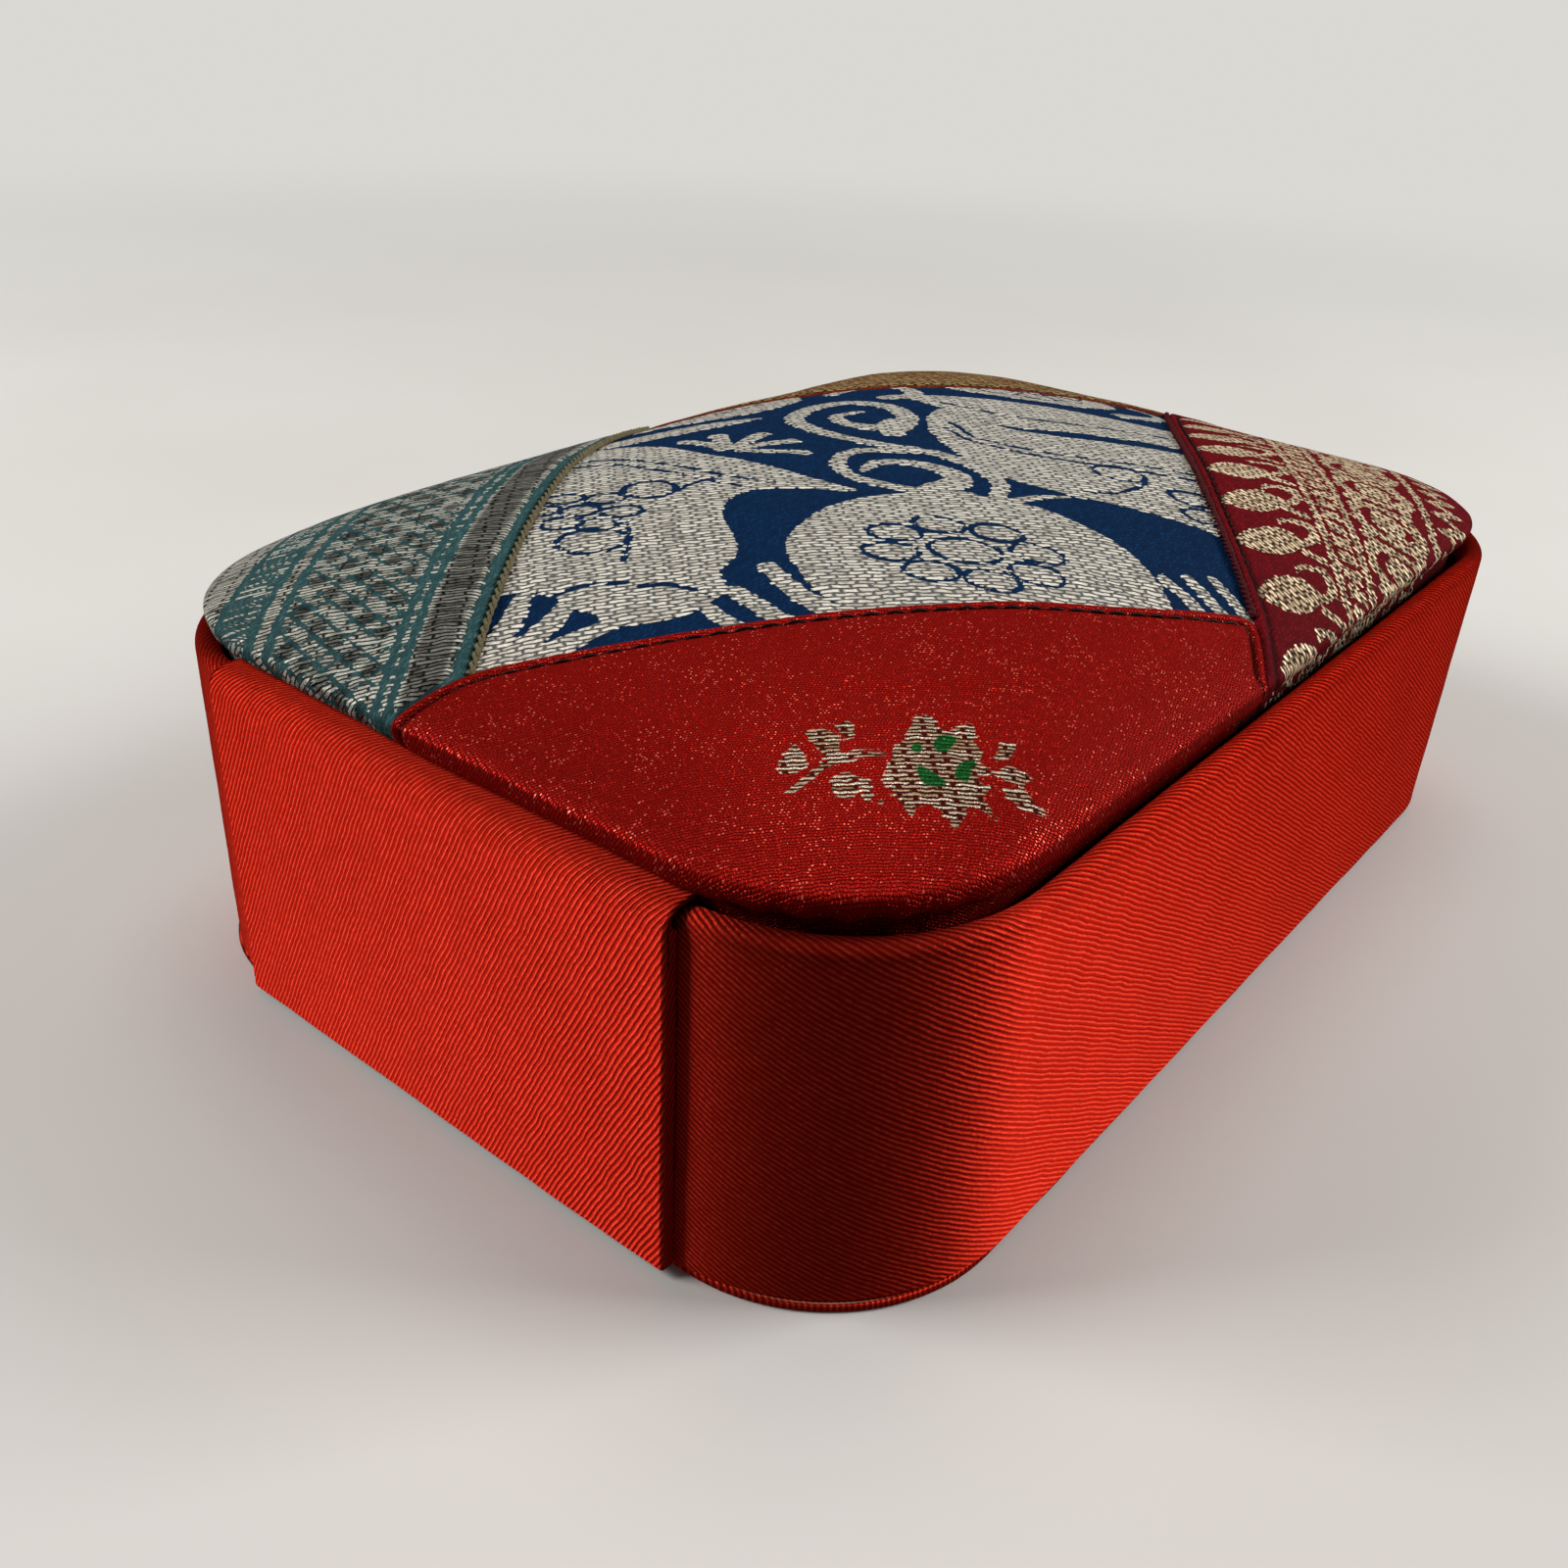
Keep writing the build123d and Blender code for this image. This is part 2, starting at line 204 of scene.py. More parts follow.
class Finish:
    """A material that is built node by node, and the UV map as its place in millimetres."""

    def __init__(self, name):
        self.material = bpy.data.materials.new(name)
        self.material.use_nodes = True
        self.tree = self.material.node_tree
        self.tree.nodes.clear()
        self.place = self.add("UVMap", {}, uv_map="cloth")

    def add(self, kind, inputs, output=0, **settings):
        """One node: its settings, then its inputs, each linked if it is a socket and set if not."""
        made = self.tree.nodes.new("ShaderNode" + kind)
        for key, value in settings.items():
            setattr(made, key, value)
        for key, value in inputs.items():
            if isinstance(value, bpy.types.NodeSocket):
                self.tree.links.new(value, made.inputs[key])
            else:
                made.inputs[key].default_value = value
        return made.outputs[output]

    def math(self, operation, *values):
        """One sum on numbers."""
        return self.add("Math", dict(enumerate(values)), operation=operation)

    def remap(self, value, low, high, to_low=0.0, to_high=1.0, **settings):
        """A number's range moved to another one, and clamped to it."""
        inputs = {"Value": value, 1: low, 2: high, 3: to_low, 4: to_high}
        return self.add("MapRange", inputs, clamp=True, **settings)

    def mix(self, share, first, last):
        """Two colours, each a hex code or a socket, mixed by a share."""
        first, last = (tint(c) if isinstance(c, str) else c for c in (first, last))
        return self.add("Mix", {0: share, 6: first, 7: last}, 2, data_type="RGBA")

    def noise(self, place, scale, detail, output=0):
        """Soft noise from 0 to 1."""
        return self.add("TexNoise", {"Vector": place, "Scale": scale, "Detail": detail}, output)

    def drifted(self, place, scale, detail, reach):
        """A place moved by noise, by up to so many millimetres along each axis."""
        noise = self.noise(place, scale, detail, 1)
        return self.add("VectorMath", {0: noise, 1: reach, 2: place}, operation="MULTIPLY_ADD")

    def turned(self, place, angle):
        """A place seen from axes turned by an angle."""
        return self.add("Mapping", {"Vector": place, "Rotation": (0, 0, np.radians(-angle))})

    def threads(self, place, angle, pitch, length, gap, light="FFFFFF", dark="000000", stagger=0.37,
                taper=0.45):
        """Rows of floats at an angle: a brick texture whose bricks are threads. It is laid out
        squeezed along the rows, so a gap is longer at a float's ends and tapers it. Gives the
        colour and the gap."""
        squeezed = self.add("VectorMath", {0: self.turned(place, angle), 1: (taper, 1.0, 1.0)},
                            operation="MULTIPLY")
        colour = self.add("TexBrick", {
            "Vector": squeezed, "Scale": 1.0, "Brick Width": length * taper, "Row Height": pitch,
            "Color1": tint(light), "Color2": tint(dark), "Mortar": tint(dark), "Mortar Size": gap,
            "Mortar Smooth": 1.0, "Bias": 0.0}, offset=stagger)
        return colour, colour.node.outputs["Fac"]

    def field(self, name):
        """A number that the mesh stores for each of its points."""
        return self.add("Attribute", {}, "Fac", attribute_name=name)

    def mask(self, thread, ragged, soft):
        """Where the figure is: its field nudged thread by thread, and cut with a soft edge."""
        nudge = self.math("SUBTRACT", thread, 0.5)
        edge = self.math("MULTIPLY_ADD", nudge, ragged, self.field("figure"))
        return self.remap(edge, -soft, soft)

    def scaled(self, colour, share):
        """A colour made darker or lighter by a share."""
        return self.add("VectorMath", {0: colour, "Scale": share}, operation="SCALE")

    def painted_shade_and_dark_metal(self, colour, darkest):
        """A colour dimmed by the shade field: painted shade at folds and the lid, and dark metal.
        """
        return self.scaled(colour, self.remap(self.field("shade"), 0.0, 1.0, 1.0, darkest))

    def shaded(self, colour, height, depth, roughness, specular, metallic=0.0, gloss="FFFFFF",
               across=0.0):
        """The surface shader, with the height as a bump of so many millimetres. The gloss colour
        tints the highlights, as dyed filament does. A share across spreads them up and down the
        cloth, as threads that run along its first axis do."""
        bump = self.add("Bump", {"Height": height, "Distance": depth * MM, "Strength": 1.0})
        values = {"Base Color": colour, "Normal": bump, "Roughness": roughness,
                  "Metallic": metallic, "Specular IOR Level": specular,
                  "Specular Tint": tint(gloss)}
        if across:
            values["Tangent"] = self.add("Tangent", {}, direction_type="UV_MAP", uv_map="cloth")
            values["Anisotropic"], values["Anisotropic Rotation"] = across, 0.25
        return self.add("BsdfPrincipled", values)

    def shown(self, shader):
        """The material, with a shader as its surface."""
        output = self.tree.nodes.new("ShaderNodeOutputMaterial")
        self.tree.links.new(shader, output.inputs["Surface"])
        return self.material


# %% [markdown]
# ### Ribbed red satin
# The case's cloth is a polyester twill with a satin face. Its steep ribs are 0.68 mm apart, and
# each rib is a row of floats that catch the light one by one. Glossy filament that runs round the
# case throws its highlights up and down, and hardly sideways: so the near corner stays dark red.

# %% Ribbed satin
rib_pitch = 0.68
rib_float = 0.75


def ribbed_satin(name, angle, light="F8503A", middle="D0321E", deep="B21C10"):
    """Twill ribs at an angle to the cloth's first axis: a sine across them gives each its round
    back and its groove. Short floats tell along a rib by their tone, as dyed filament does."""
    cloth = Finish(name)
    place = cloth.drifted(cloth.place, 0.22, 3.0, (0.6, 0.6, 0.0))
    across = cloth.add("SeparateXYZ", {"Vector": cloth.turned(place, angle)}, 1)
    back = cloth.math("SINE", cloth.math("MULTIPLY", across, 2 * np.pi / rib_pitch))
    tone, _ = cloth.threads(place, angle, rib_pitch, rib_float, 0.0)
    uneven = cloth.math("MULTIPLY_ADD", tone, 0.35, cloth.noise(place, 1.9, 2.0))
    thread = cloth.mix(cloth.remap(uneven, 0.3, 1.0), middle, light)
    ribs = cloth.mix(cloth.remap(back, -0.4, 0.95), deep, thread)
    cloud = cloth.remap(cloth.noise(place, 0.05, 3.0), 0.0, 1.0, 0.88, 1.1)
    # Painted shade from the shade field: the satin darkens towards the rim and over the hinge roll,
    # under the lid.
    colour = cloth.painted_shade_and_dark_metal(cloth.scaled(ribs, cloud), 0.4)
    height = cloth.math("MULTIPLY_ADD", back, 0.5, uneven)
    return cloth.shown(cloth.shaded(colour, height, 0.06, 0.55, 0.03, metallic=0.8, gloss="F64A32",
                                    across=0.9))


wall_satin = ribbed_satin("ribbed_satin_wall", 148.0)
spine_satin = ribbed_satin("ribbed_satin_spine", 62.0)
lining_satin = ribbed_satin("dark_lining_satin", 90.0, "321014", "260A0E", "120406")

# %% [markdown]
# ### Greyboard, card, wadding and thread
# Boards are rolled from grey paper pulp: matte, faintly mottled, with darker flecks of fibre. The
# wadding is white polyester. They are inside the case and show only where it is taken apart. The
# same two tones by a fine noise also make twisted thread, which has a dull sheen.

# %% Mottled materials
def mottled(name, base, fleck, scale, detail=6.0, depth=0.1, roughness=0.9, specular=0.5):
    """Two tones by a fine noise in Object coordinates: the material's nodes and its shader."""
    fibre = Finish(name)
    noise = fibre.noise(fibre.add("TexCoord", {}, "Object"), scale, detail)
    colour = fibre.mix(noise, base, fleck)
    return fibre, fibre.shaded(colour, noise, depth, roughness, specular)


def plain(*values, **settings):
    """A mottled material, with nothing over it."""
    fibre, shader = mottled(*values, **settings)
    return fibre.shown(shader)


def thread_finish(name, colour, dark):
    """Twisted sewing thread: two tones wound round it, with a dull sheen."""
    return plain(name, colour, dark, 2500.0, detail=2.0, depth=0.08, roughness=0.6, specular=0.1)


greyboard = plain("greyboard", "9C978C", "857F74", 600.0)
card = plain("kraft_card", "B8AA8E", "9E8F74", 700.0)
wadding = plain("polyester_wadding", "F1EFE8", "D8D5CC", 300.0)
dark_thread = thread_finish("dark_sewing_thread", "2E0A0A", "0E0303")
silver_thread = thread_finish("tarnished_metal_cord", "847A5A", "2A261C")
maroon_thread = thread_finish("dark_maroon_cord", "5A1418", "22060A")
boards = ("wall_board", "lining_board", "spine_board", "floor_board", "lid_board")
cards = ("base_card", "floor_card", "lid_lining_card")
for names, finish in ((boards, greyboard), (cards, card)):
    for name in names:
        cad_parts[name].data.materials.clear()
        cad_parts[name].data.materials.append(finish)

# %% [markdown]
# ### Brocade
# A brocade has a plain satin ground and a figure woven in metal thread. The figure's edge is
# stepped, because each weft thread starts and stops on its own. A numpy field on the mesh says how
# many millimetres each point lies inside the figure. The shader then nudges that edge thread by
# thread, and draws the floats of metal over it.

# %% Brocade and shot satin
def brocade(name, ground, ground_dark, metal, metal_dark, shadow, pitch, length, angle, ragged=0.5):
    """Metal floats where the figure field is above zero, and twilled satin elsewhere."""
    cloth = Finish(name)
    place = cloth.drifted(cloth.place, 0.11, 2.0, (2.2, 2.2, 2.2))
    place = cloth.drifted(place, 0.55, 2.0, (1.5, 0.75, 0.0))
    thread, gap = cloth.threads(place, angle, pitch, length, 0.24 * pitch)
    twill, groove = cloth.threads(place, 60.0, 0.55, 1.6, 0.2, ground, ground_dark)
    mask = cloth.mask(thread, ragged, 0.06)
    spread = cloth.math("MULTIPLY_ADD", thread, 0.6, cloth.noise(place, 0.9, 2.0))
    floats = cloth.mix(cloth.remap(spread, 0.25, 1.0), metal_dark, metal)
    # Painted shade from the shade field under the lid's edge; on the teal the field also holds the
    # darker metal of its pattern.
    colour = cloth.painted_shade_and_dark_metal(cloth.mix(mask, twill, cloth.mix(gap, floats, shadow)), 0.2)
    raised = cloth.math("MULTIPLY_ADD", cloth.math("SUBTRACT", 1.0, gap), 0.7, 0.3)
    figure = cloth.math("MULTIPLY", cloth.math("MULTIPLY_ADD", thread, 0.35, raised), mask)
    height = cloth.math("MULTIPLY_ADD", groove, -0.12, figure)
    metallic = cloth.math("MULTIPLY", mask, 0.2)
    roughness = cloth.remap(mask, 0.0, 1.0, 0.75, 0.38)
    return cloth.shown(cloth.shaded(colour, height, 0.45, roughness, 0.04, metallic))


def shot_satin(name):
    """Red silk shot with metal: a fine plain weave with painted glints on odd threads, and a woven
    sprig.
    """
    cloth = Finish(name)
    place = cloth.drifted(cloth.place, 0.8, 2.0, (0.7, 0.7, 0.0))
    weave, gap = cloth.threads(place, 8.0, 0.4, 0.44, 0.12, stagger=0.5, taper=0.8)
    silk = cloth.mix(gap, cloth.mix(weave, "94110C", "BE2218"), "8A0C08")
    # Painted glints: a few floats, more of them where a slow noise says, are coloured pale pink as
    # if catching the light.
    painted_glint_from = cloth.remap(cloth.noise(cloth.place, 0.16, 4.0), 0.35, 0.65, 0.97, 0.77)
    painted_glint = cloth.remap(cloth.math("SUBTRACT", weave, painted_glint_from), 0.0, 0.08)
    painted_glint = cloth.math("MULTIPLY", painted_glint, cloth.math("SUBTRACT", 1.0, gap))
    red = cloth.mix(painted_glint, silk, "FF705A")
    thread, between = cloth.threads(place, 8.0, 0.62, 4.6, 0.2)
    mask = cloth.mask(thread, 0.5, 0.05)
    between = cloth.remap(between, 0.0, 0.4)
    # The dark brown and dark green between the sprig's threads are painted shade.
    beige = cloth.mix(between, cloth.mix(thread, "B89C76", "FFEED2"), "4A120C")
    green = cloth.mix(between, "1E7436", "0C4A1E")
    sprig = cloth.mix(cloth.remap(cloth.field("leaf"), -0.1, 0.1), beige, green)
    # Painted shade from the shade field: along the stitch groove, under the lid's edge and on the
    # crown's outer side.
    colour = cloth.painted_shade_and_dark_metal(cloth.mix(mask, red, sprig), 0.12)
    raised = cloth.math("MULTIPLY", cloth.math("SUBTRACT", 1.0, between), mask)
    fine = cloth.math("MULTIPLY_ADD", gap, -0.3, raised)
    height = cloth.math("MULTIPLY_ADD", weave, 0.3, fine)
    return cloth.shown(cloth.shaded(colour, height, 0.3, 0.34, 0.12, metallic=0.45, gloss="FF6A50"))


navy_silver = brocade("navy_and_silver_brocade", "072B50", "041C38", "EAE4D6", "948E82", "5A5C5C",
                      0.86, 2.6, 10.0)
maroon_gold = brocade("maroon_and_gold_brocade", "740812", "50050C", "FFE4BC", "785236", "260806",
                      0.9, 2.0, -45.0)
teal_silver = brocade("teal_and_silver_brocade", "466A6C", "2C4A4C", "D6D4C6", "34342C", "101614",
                      0.72, 5.5, 2.0, ragged=0.55)
rust_gold = brocade("rust_and_gold_brocade", "7E3018", "501C0E", "BC9C64", "5E482C", "24140A",
                    1.0, 2.2, 6.0, ragged=0.9)
red_shot = shot_satin("red_shot_satin")

# %% [markdown]
# ## The crowned lid
# The lid is a padded board, so it swells from a level edge to a flat-topped crown. Each level line
# is a rounded rectangle that grows rounder towards the top, and a share from 0 to 1 names it. A
# walk round the outline and a share together are a place on the lid, so seams and patches are drawn
# in those two numbers and never leave the surface.

# %% Outline and crown
corner_signs = np.array([(1, 1), (-1, 1), (-1, -1), (1, -1)])
crown_power = 2.8
edge_power = 0.8
top_roundness = 0.85


def outline(walk, half_x, half_y, radius):
    """A rounded rectangle, once round as walk goes from 0 to 8: even spans are straight sides and
    odd spans quarter circles. Each place is a corner's centre plus the radius along the normal."""
    walk = np.mod(walk, 8.0)
    number = np.floor(walk).astype(int)
    share = walk - number
    corner = number // 2
    straight = number % 2 == 0
    angle = (corner + np.where(straight, 0.0, share)) * np.pi / 2
    inner = np.stack(np.broadcast_arrays(half_x - radius, half_y - radius), axis=-1)
    last = corner_signs[(corner - 1) % 4] * inner
    here = corner_signs[corner] * inner
    centre = last + (here - last) * np.where(straight, share, 1.0)[..., None]
    normal = np.stack([np.cos(angle), np.sin(angle)], axis=-1)
    return centre + normal * np.asarray(radius)[..., None], normal


def level(share):
    """Half sizes and corner radius of the lid's level line at a share of its widest one."""
    edge = lid_radius / lid_half[0]
    roundness = edge + (top_roundness - edge) * (1 - np.minimum(share, 1))
    return lid_half[0] * share, lid_half[1] * share, lid_half[0] * share * roundness


def share_at(plan):
    """The share of the level line through a place in plan, by halving an interval forty times."""
    x, y = np.moveaxis(np.abs(plan - lid_middle), -1, 0)
    low, high = np.full(x.shape, 1e-4), np.full(x.shape, 1.5)
    for _ in range(40):
        middle = (low + high) / 2
        half_x, half_y, radius = level(middle)
        past_x = np.maximum(x - (half_x - radius), 0)
        past_y = np.maximum(y - (half_y - radius), 0)
        inside = (x <= half_x) & (y <= half_y) & (past_x**2 + past_y**2 <= radius**2)
        high, low = np.where(inside, middle, high), np.where(inside, low, middle)
    return high


def walk_at(plan, share):
    """How far round the level line a place in plan lies, from 0 to 8."""
    half_x, half_y, radius = level(share)
    inner_x, inner_y = half_x - radius, half_y - radius
    x, y = np.moveaxis(plan - lid_middle, -1, 0)
    quarter = np.where(y >= 0, np.where(x >= 0, 0, 1), np.where(x >= 0, 3, 2))
    signs = corner_signs[quarter]
    angle = np.arctan2(y - signs[..., 1] * inner_y, x - signs[..., 0] * inner_x)
    turn = np.mod(angle / (np.pi / 2) - quarter, 4.0)
    on_arc = (np.abs(x) > inner_x) & (np.abs(y) > inner_y)
    side_x = np.where(x > 0, (y + inner_y) / (2 * inner_y), 4 + (inner_y - y) / (2 * inner_y))
    side_y = np.where(y > 0, 2 + (inner_x - x) / (2 * inner_x), 6 + (x + inner_x) / (2 * inner_x))
    on_side = np.where(np.abs(x) > inner_x, side_x, side_y)
    return np.where(on_arc, 2 * quarter + 1 + np.clip(turn, 0, 1), on_side)


bulge_cloth = 4.6
crown_stretch = 0.06
sag_depth = 2.6
sag_place = np.array([-26.0, -74.0])
sag_width = 38.0


def lid_surface(walk, profile):
    """A place on the lid and on its flat cloth. Profile 0 to 1 is the share of the crown, 1 to 2
    the bulge under the widest line, 2 to 3 the straight skirt, and 3 to 4 the hem under the board.
    The wadding has sunk a little behind the maroon seam."""
    walk, profile = np.broadcast_arrays(walk, profile)
    share, bulge, down, under = (np.clip(profile - i, 0, 1) for i in range(4))
    place, normal = outline(walk, *level(np.maximum(share, 1e-4)))
    rise = crown_height * np.clip(1 - share**crown_power, 0, 1) ** edge_power
    turn = bulge * np.pi / 2
    inset = lid_overhang * (1 - np.cos(turn)) + hem_width * under
    away = np.linalg.norm(place + lid_middle - sag_place, axis=-1)
    sag = sag_depth * np.exp(-(away / sag_width) ** 2) * (1 - share**12)
    z = widest_z + rise - sag - bulge_rise * np.sin(turn) - skirt_drop * down
    beyond = bulge_cloth * bulge + skirt_drop * down + hem_width * under
    flat = place * (1 + crown_stretch * share**2)[..., None] + normal * beyond[..., None]
    plan = place - normal * inset[..., None] + lid_middle
    return np.concatenate([plan, z[..., None]], axis=-1), flat


def unfolded(walk, profile):
    """A place on the lid in plan, but with the bulge and skirt laid out beyond the widest line."""
    _, flat = lid_surface(walk, profile)
    share = np.clip(profile, 0.0, 1.0)
    place, _ = outline(walk, *level(np.maximum(share, 1e-4)))
    return flat - place * (crown_stretch * share**2)[..., None] + lid_middle


# %% [markdown]
# ## Seams of the patchwork
# Four seams bow across the crown and part the navy middle from the four corners, and a short seam
# runs from each of their meeting points to the lid's edge. The sewer marks these as a few points
# and smooth curves between them, and so does this cell, with the model's own shares.

# %% Seams
meeting_shares = np.array([(0.04, 0.91), (-0.9, 0.035), (-0.015, -0.89), (0.9, 0.0)])
edge_shares = np.array([(0.085, 1.0), (-1.0, 0.14), (-0.06, -1.0), (1.0, -0.06)])
seam_bows = np.array([5.0, -4.0, -6.0, 2.5])
meetings = meeting_shares * lid_half + lid_middle
edge_ends = edge_shares * lid_half + lid_middle


def seam_circle(i):
    """The circle of seam i through its ends and its bowed middle: its centre, its radius, the way
    along its chord, the way across it and out, half its angle, and 1 if it bows outwards."""
    first, last = meetings[i], meetings[(i + 1) % 4]
    chord = last - first
    length = np.hypot(*chord)
    across = np.array([-chord[1], chord[0]]) / length
    middle = (first + last) / 2
    if across @ (middle - lid_middle) < 0:
        across = -across
    bow, side = abs(seam_bows[i]), np.sign(seam_bows[i])
    radius = (length**2 / 4 + bow**2) / (2 * bow)
    centre = middle + across * side * (bow - radius)
    return centre, radius, chord / length, across, np.arcsin(length / 2 / radius), side


def seam(i, count=80):
    """Seam i as points in plan, walked evenly along its circle."""
    centre, radius, along, across, half_angle, side = seam_circle(i)
    turn = np.linspace(-half_angle, half_angle, count)
    return (centre + np.outer(np.sin(turn) * radius, along)
            + np.outer(np.cos(turn) * radius * side, across))


def seam_axes(i, plan):
    """Places in plan as the way along seam i from its first end and the way out from it."""
    centre, radius, along, across, half_angle, side = seam_circle(i)
    beside, beyond = (plan - centre) @ along, (plan - centre) @ across
    out = side * (np.hypot(beside, beyond) - radius)
    return radius * (np.arctan2(beside, side * beyond) + half_angle), out


def walked(points, count):
    """A line of points walked evenly by length, with so many points."""
    length = lengths_along(points)
    even = np.linspace(0, length[-1], count)
    return np.stack([np.interp(even, length, points[:, k]) for k in range(2)], axis=-1)


def inside_band(line, plan, wide=0.0, narrow=0.0):
    """Millimetres inside a band along a line of straight steps, negative outside. Its half width
    tapers from wide to narrow. A band of no width gives the distance, with a minus."""
    best = np.full(plan.shape[:-1], -1e9)
    widths = np.linspace(wide, narrow, len(line))
    for first, last, w0, w1 in zip(line[:-1], line[1:], widths[:-1], widths[1:]):
        step = last - first
        share = np.clip(((plan - first) @ step) / max(step @ step, 1e-12), 0, 1)
        away = plan - first - share[..., None] * step
        best = np.maximum(best, w0 + (w1 - w0) * share - np.hypot(away[..., 0], away[..., 1]))
    return best


# %% [markdown]
# ## The padding pushes the patches out
# Between its seams each patch is blown out a little by the wadding, and along a seam the stitches
# hold it down. That is a cloth simulation: a sheet over the crown, held along the seams and at the
# edge, under a small pressure from below. The sheet is then the padding's own surface, and every
# patch takes its swelling from it.

# %% Simulate the padded crown
puff_walks, puff_rings = 128, 30
puff_walk = np.arange(puff_walks) * 8.0 / puff_walks
puff_share = np.linspace(0.02, 1.0, puff_rings)
puff_cap = 1.7
puff_sink = 0.7
seam_reach = 3.5
settle_frames = 16


def held_down(plan):
    """How near a place is to a seam, from 1 on the seam to 0 well away from it."""
    lines = [*(seam(i, 24) for i in range(4)), *np.stack([meetings, edge_ends], axis=1)]
    return np.exp(-(np.max([inside_band(line, plan) for line in lines], axis=0) / seam_reach) ** 2)


def simulated_puff(points):
    """Runs Blender's cloth on the crown's grid, and gives each point's move in millimetres."""
    uv = np.zeros((points.shape[0], points.shape[1] + 1, 2))
    mesh = grid_mesh("puff_sheet", points, uv, ring=True, caps=(True, False), flip=True)
    sheet = bpy.data.objects.new("puff_sheet", mesh)
    scene = bpy.context.scene
    scene.collection.objects.link(sheet)
    hold = held_down(points[..., :2])
    hold[-1] = 1.0
    group = sheet.vertex_groups.new(name="held")
    steps = np.round(hold.ravel() * 10).astype(int)
    for step in range(1, 11):
        group.add(np.flatnonzero(steps == step).tolist(), step / 10, "REPLACE")
    cloth = sheet.modifiers.new("cloth", "CLOTH").settings
    cloth.vertex_group_mass = "held"
    cloth.quality = 8
    cloth.mass = 0.2
    cloth.tension_stiffness = cloth.compression_stiffness = 12
    cloth.bending_stiffness = 1.5
    cloth.use_pressure = True
    cloth.uniform_pressure_force = 60.0
    cloth.effector_weights.gravity = 0.0
    for number in range(1, settle_frames + 1):
        scene.frame_set(number)
    evaluated = sheet.evaluated_get(bpy.context.evaluated_depsgraph_get())
    moved = np.zeros(len(mesh.vertices) * 3, np.float32)
    evaluated.data.vertices.foreach_get("co", moved)
    scene.frame_set(1)
    bpy.data.objects.remove(sheet)
    return moved.reshape(points.shape).astype(float) / MM - points


crown_points, _ = lid_surface(puff_walk[None, :], puff_share[:, None])
moved = simulated_puff(crown_points)
puff = np.linalg.norm(moved, axis=-1) * np.sign(moved[..., 2])
puff = puff_cap * np.tanh(puff / puff_cap)
puff_wide = np.concatenate([puff, puff[:, :1]], axis=1)
print("puff", puff.min().round(2), puff.max().round(2))


def puff_at(walk, share):
    """The padding's swelling at a place on the crown, read between the sheet's points."""
    column = np.mod(walk, 8.0) / 8.0 * puff_walks
    row = np.clip((share - puff_share[0]) / (1 - puff_share[0]), 0, 1) * (puff_rings - 1)
    c = np.minimum(column.astype(int), puff_walks - 1)
    r = np.minimum(row.astype(int), puff_rings - 2)
    top, low = (puff_wide[i, c] + (puff_wide[i, c + 1] - puff_wide[i, c]) * (column - c)
                for i in (r, r + 1))
    return top + (low - top) * (row - r)


# %% [markdown]
# ## Drawing the woven figures
# The figures are traditional sari motifs: mangoes, a round flower, scrolls with curled leaves, and
# combs of short strokes. Each is an outline or a stroke through a few listed points, in
# millimetres on the cloth. What the shader needs is the signed distance to it, which numpy works
# out for every point of the mesh at once.

# %% Figures as distances
curve_steps = 6


def curve_through(points, closed=False):
    """A smooth line through points: cubic pieces whose slopes come from the neighbours."""
    points = np.asarray(points, float)
    if closed:
        wide = np.concatenate([points[-1:], points, points[:2]])
    else:
        wide = np.concatenate([2 * points[:1] - points[1:2], points,
                               2 * points[-1:] - points[-2:-1]])
    t = np.linspace(0, 1, curve_steps, endpoint=False)[:, None]
    parts = [0.5 * (2 * b + (c - a) * t + (2 * a - 5 * b + 4 * c - d) * t**2
                    + (3 * b - a - 3 * c + d) * t**3)
             for a, b, c, d in zip(wide[:-3], wide[1:-2], wide[2:-1], wide[3:])]
    return np.concatenate([*parts, points[:1] if closed else points[-1:]])


def inside_shape(points, plan):
    """Millimetres inside a closed smooth outline, negative outside: the distance to the outline,
    with its sign from how often a ray to the right crosses it."""
    line = curve_through(points, closed=True)
    x, y = plan[..., 0], plan[..., 1]
    crossings = np.zeros(x.shape, int)
    for (x0, y0), (x1, y1) in zip(line[:-1], line[1:]):
        if y0 != y1:
            crossings += ((y0 > y) != (y1 > y)) & (x < (x1 - x0) * (y - y0) / (y1 - y0) + x0)
    return inside_band(line, plan) * np.where(crossings % 2 == 1, -1, 1)


def inside_ellipse(plan, centre, half_x, half_y):
    """Millimetres inside an ellipse, close to its edge: its implicit value over its slope."""
    u, v = (plan[..., 0] - centre[0]) / half_x, (plan[..., 1] - centre[1]) / half_y
    radius = np.hypot(u, v)
    slope = np.hypot(u / half_x, v / half_y) / np.maximum(radius, 1e-6)
    return (1 - radius) / np.maximum(slope, 1e-6)


def drawn(plan, shapes, strokes=()):
    """Millimetres inside some closed shapes and some strokes that taper between two half widths."""
    inside = [inside_shape(points, plan) for points in shapes]
    inside += [inside_band(curve_through(points), plan, *widths) for points, *widths in strokes]
    return np.max(inside, axis=0)


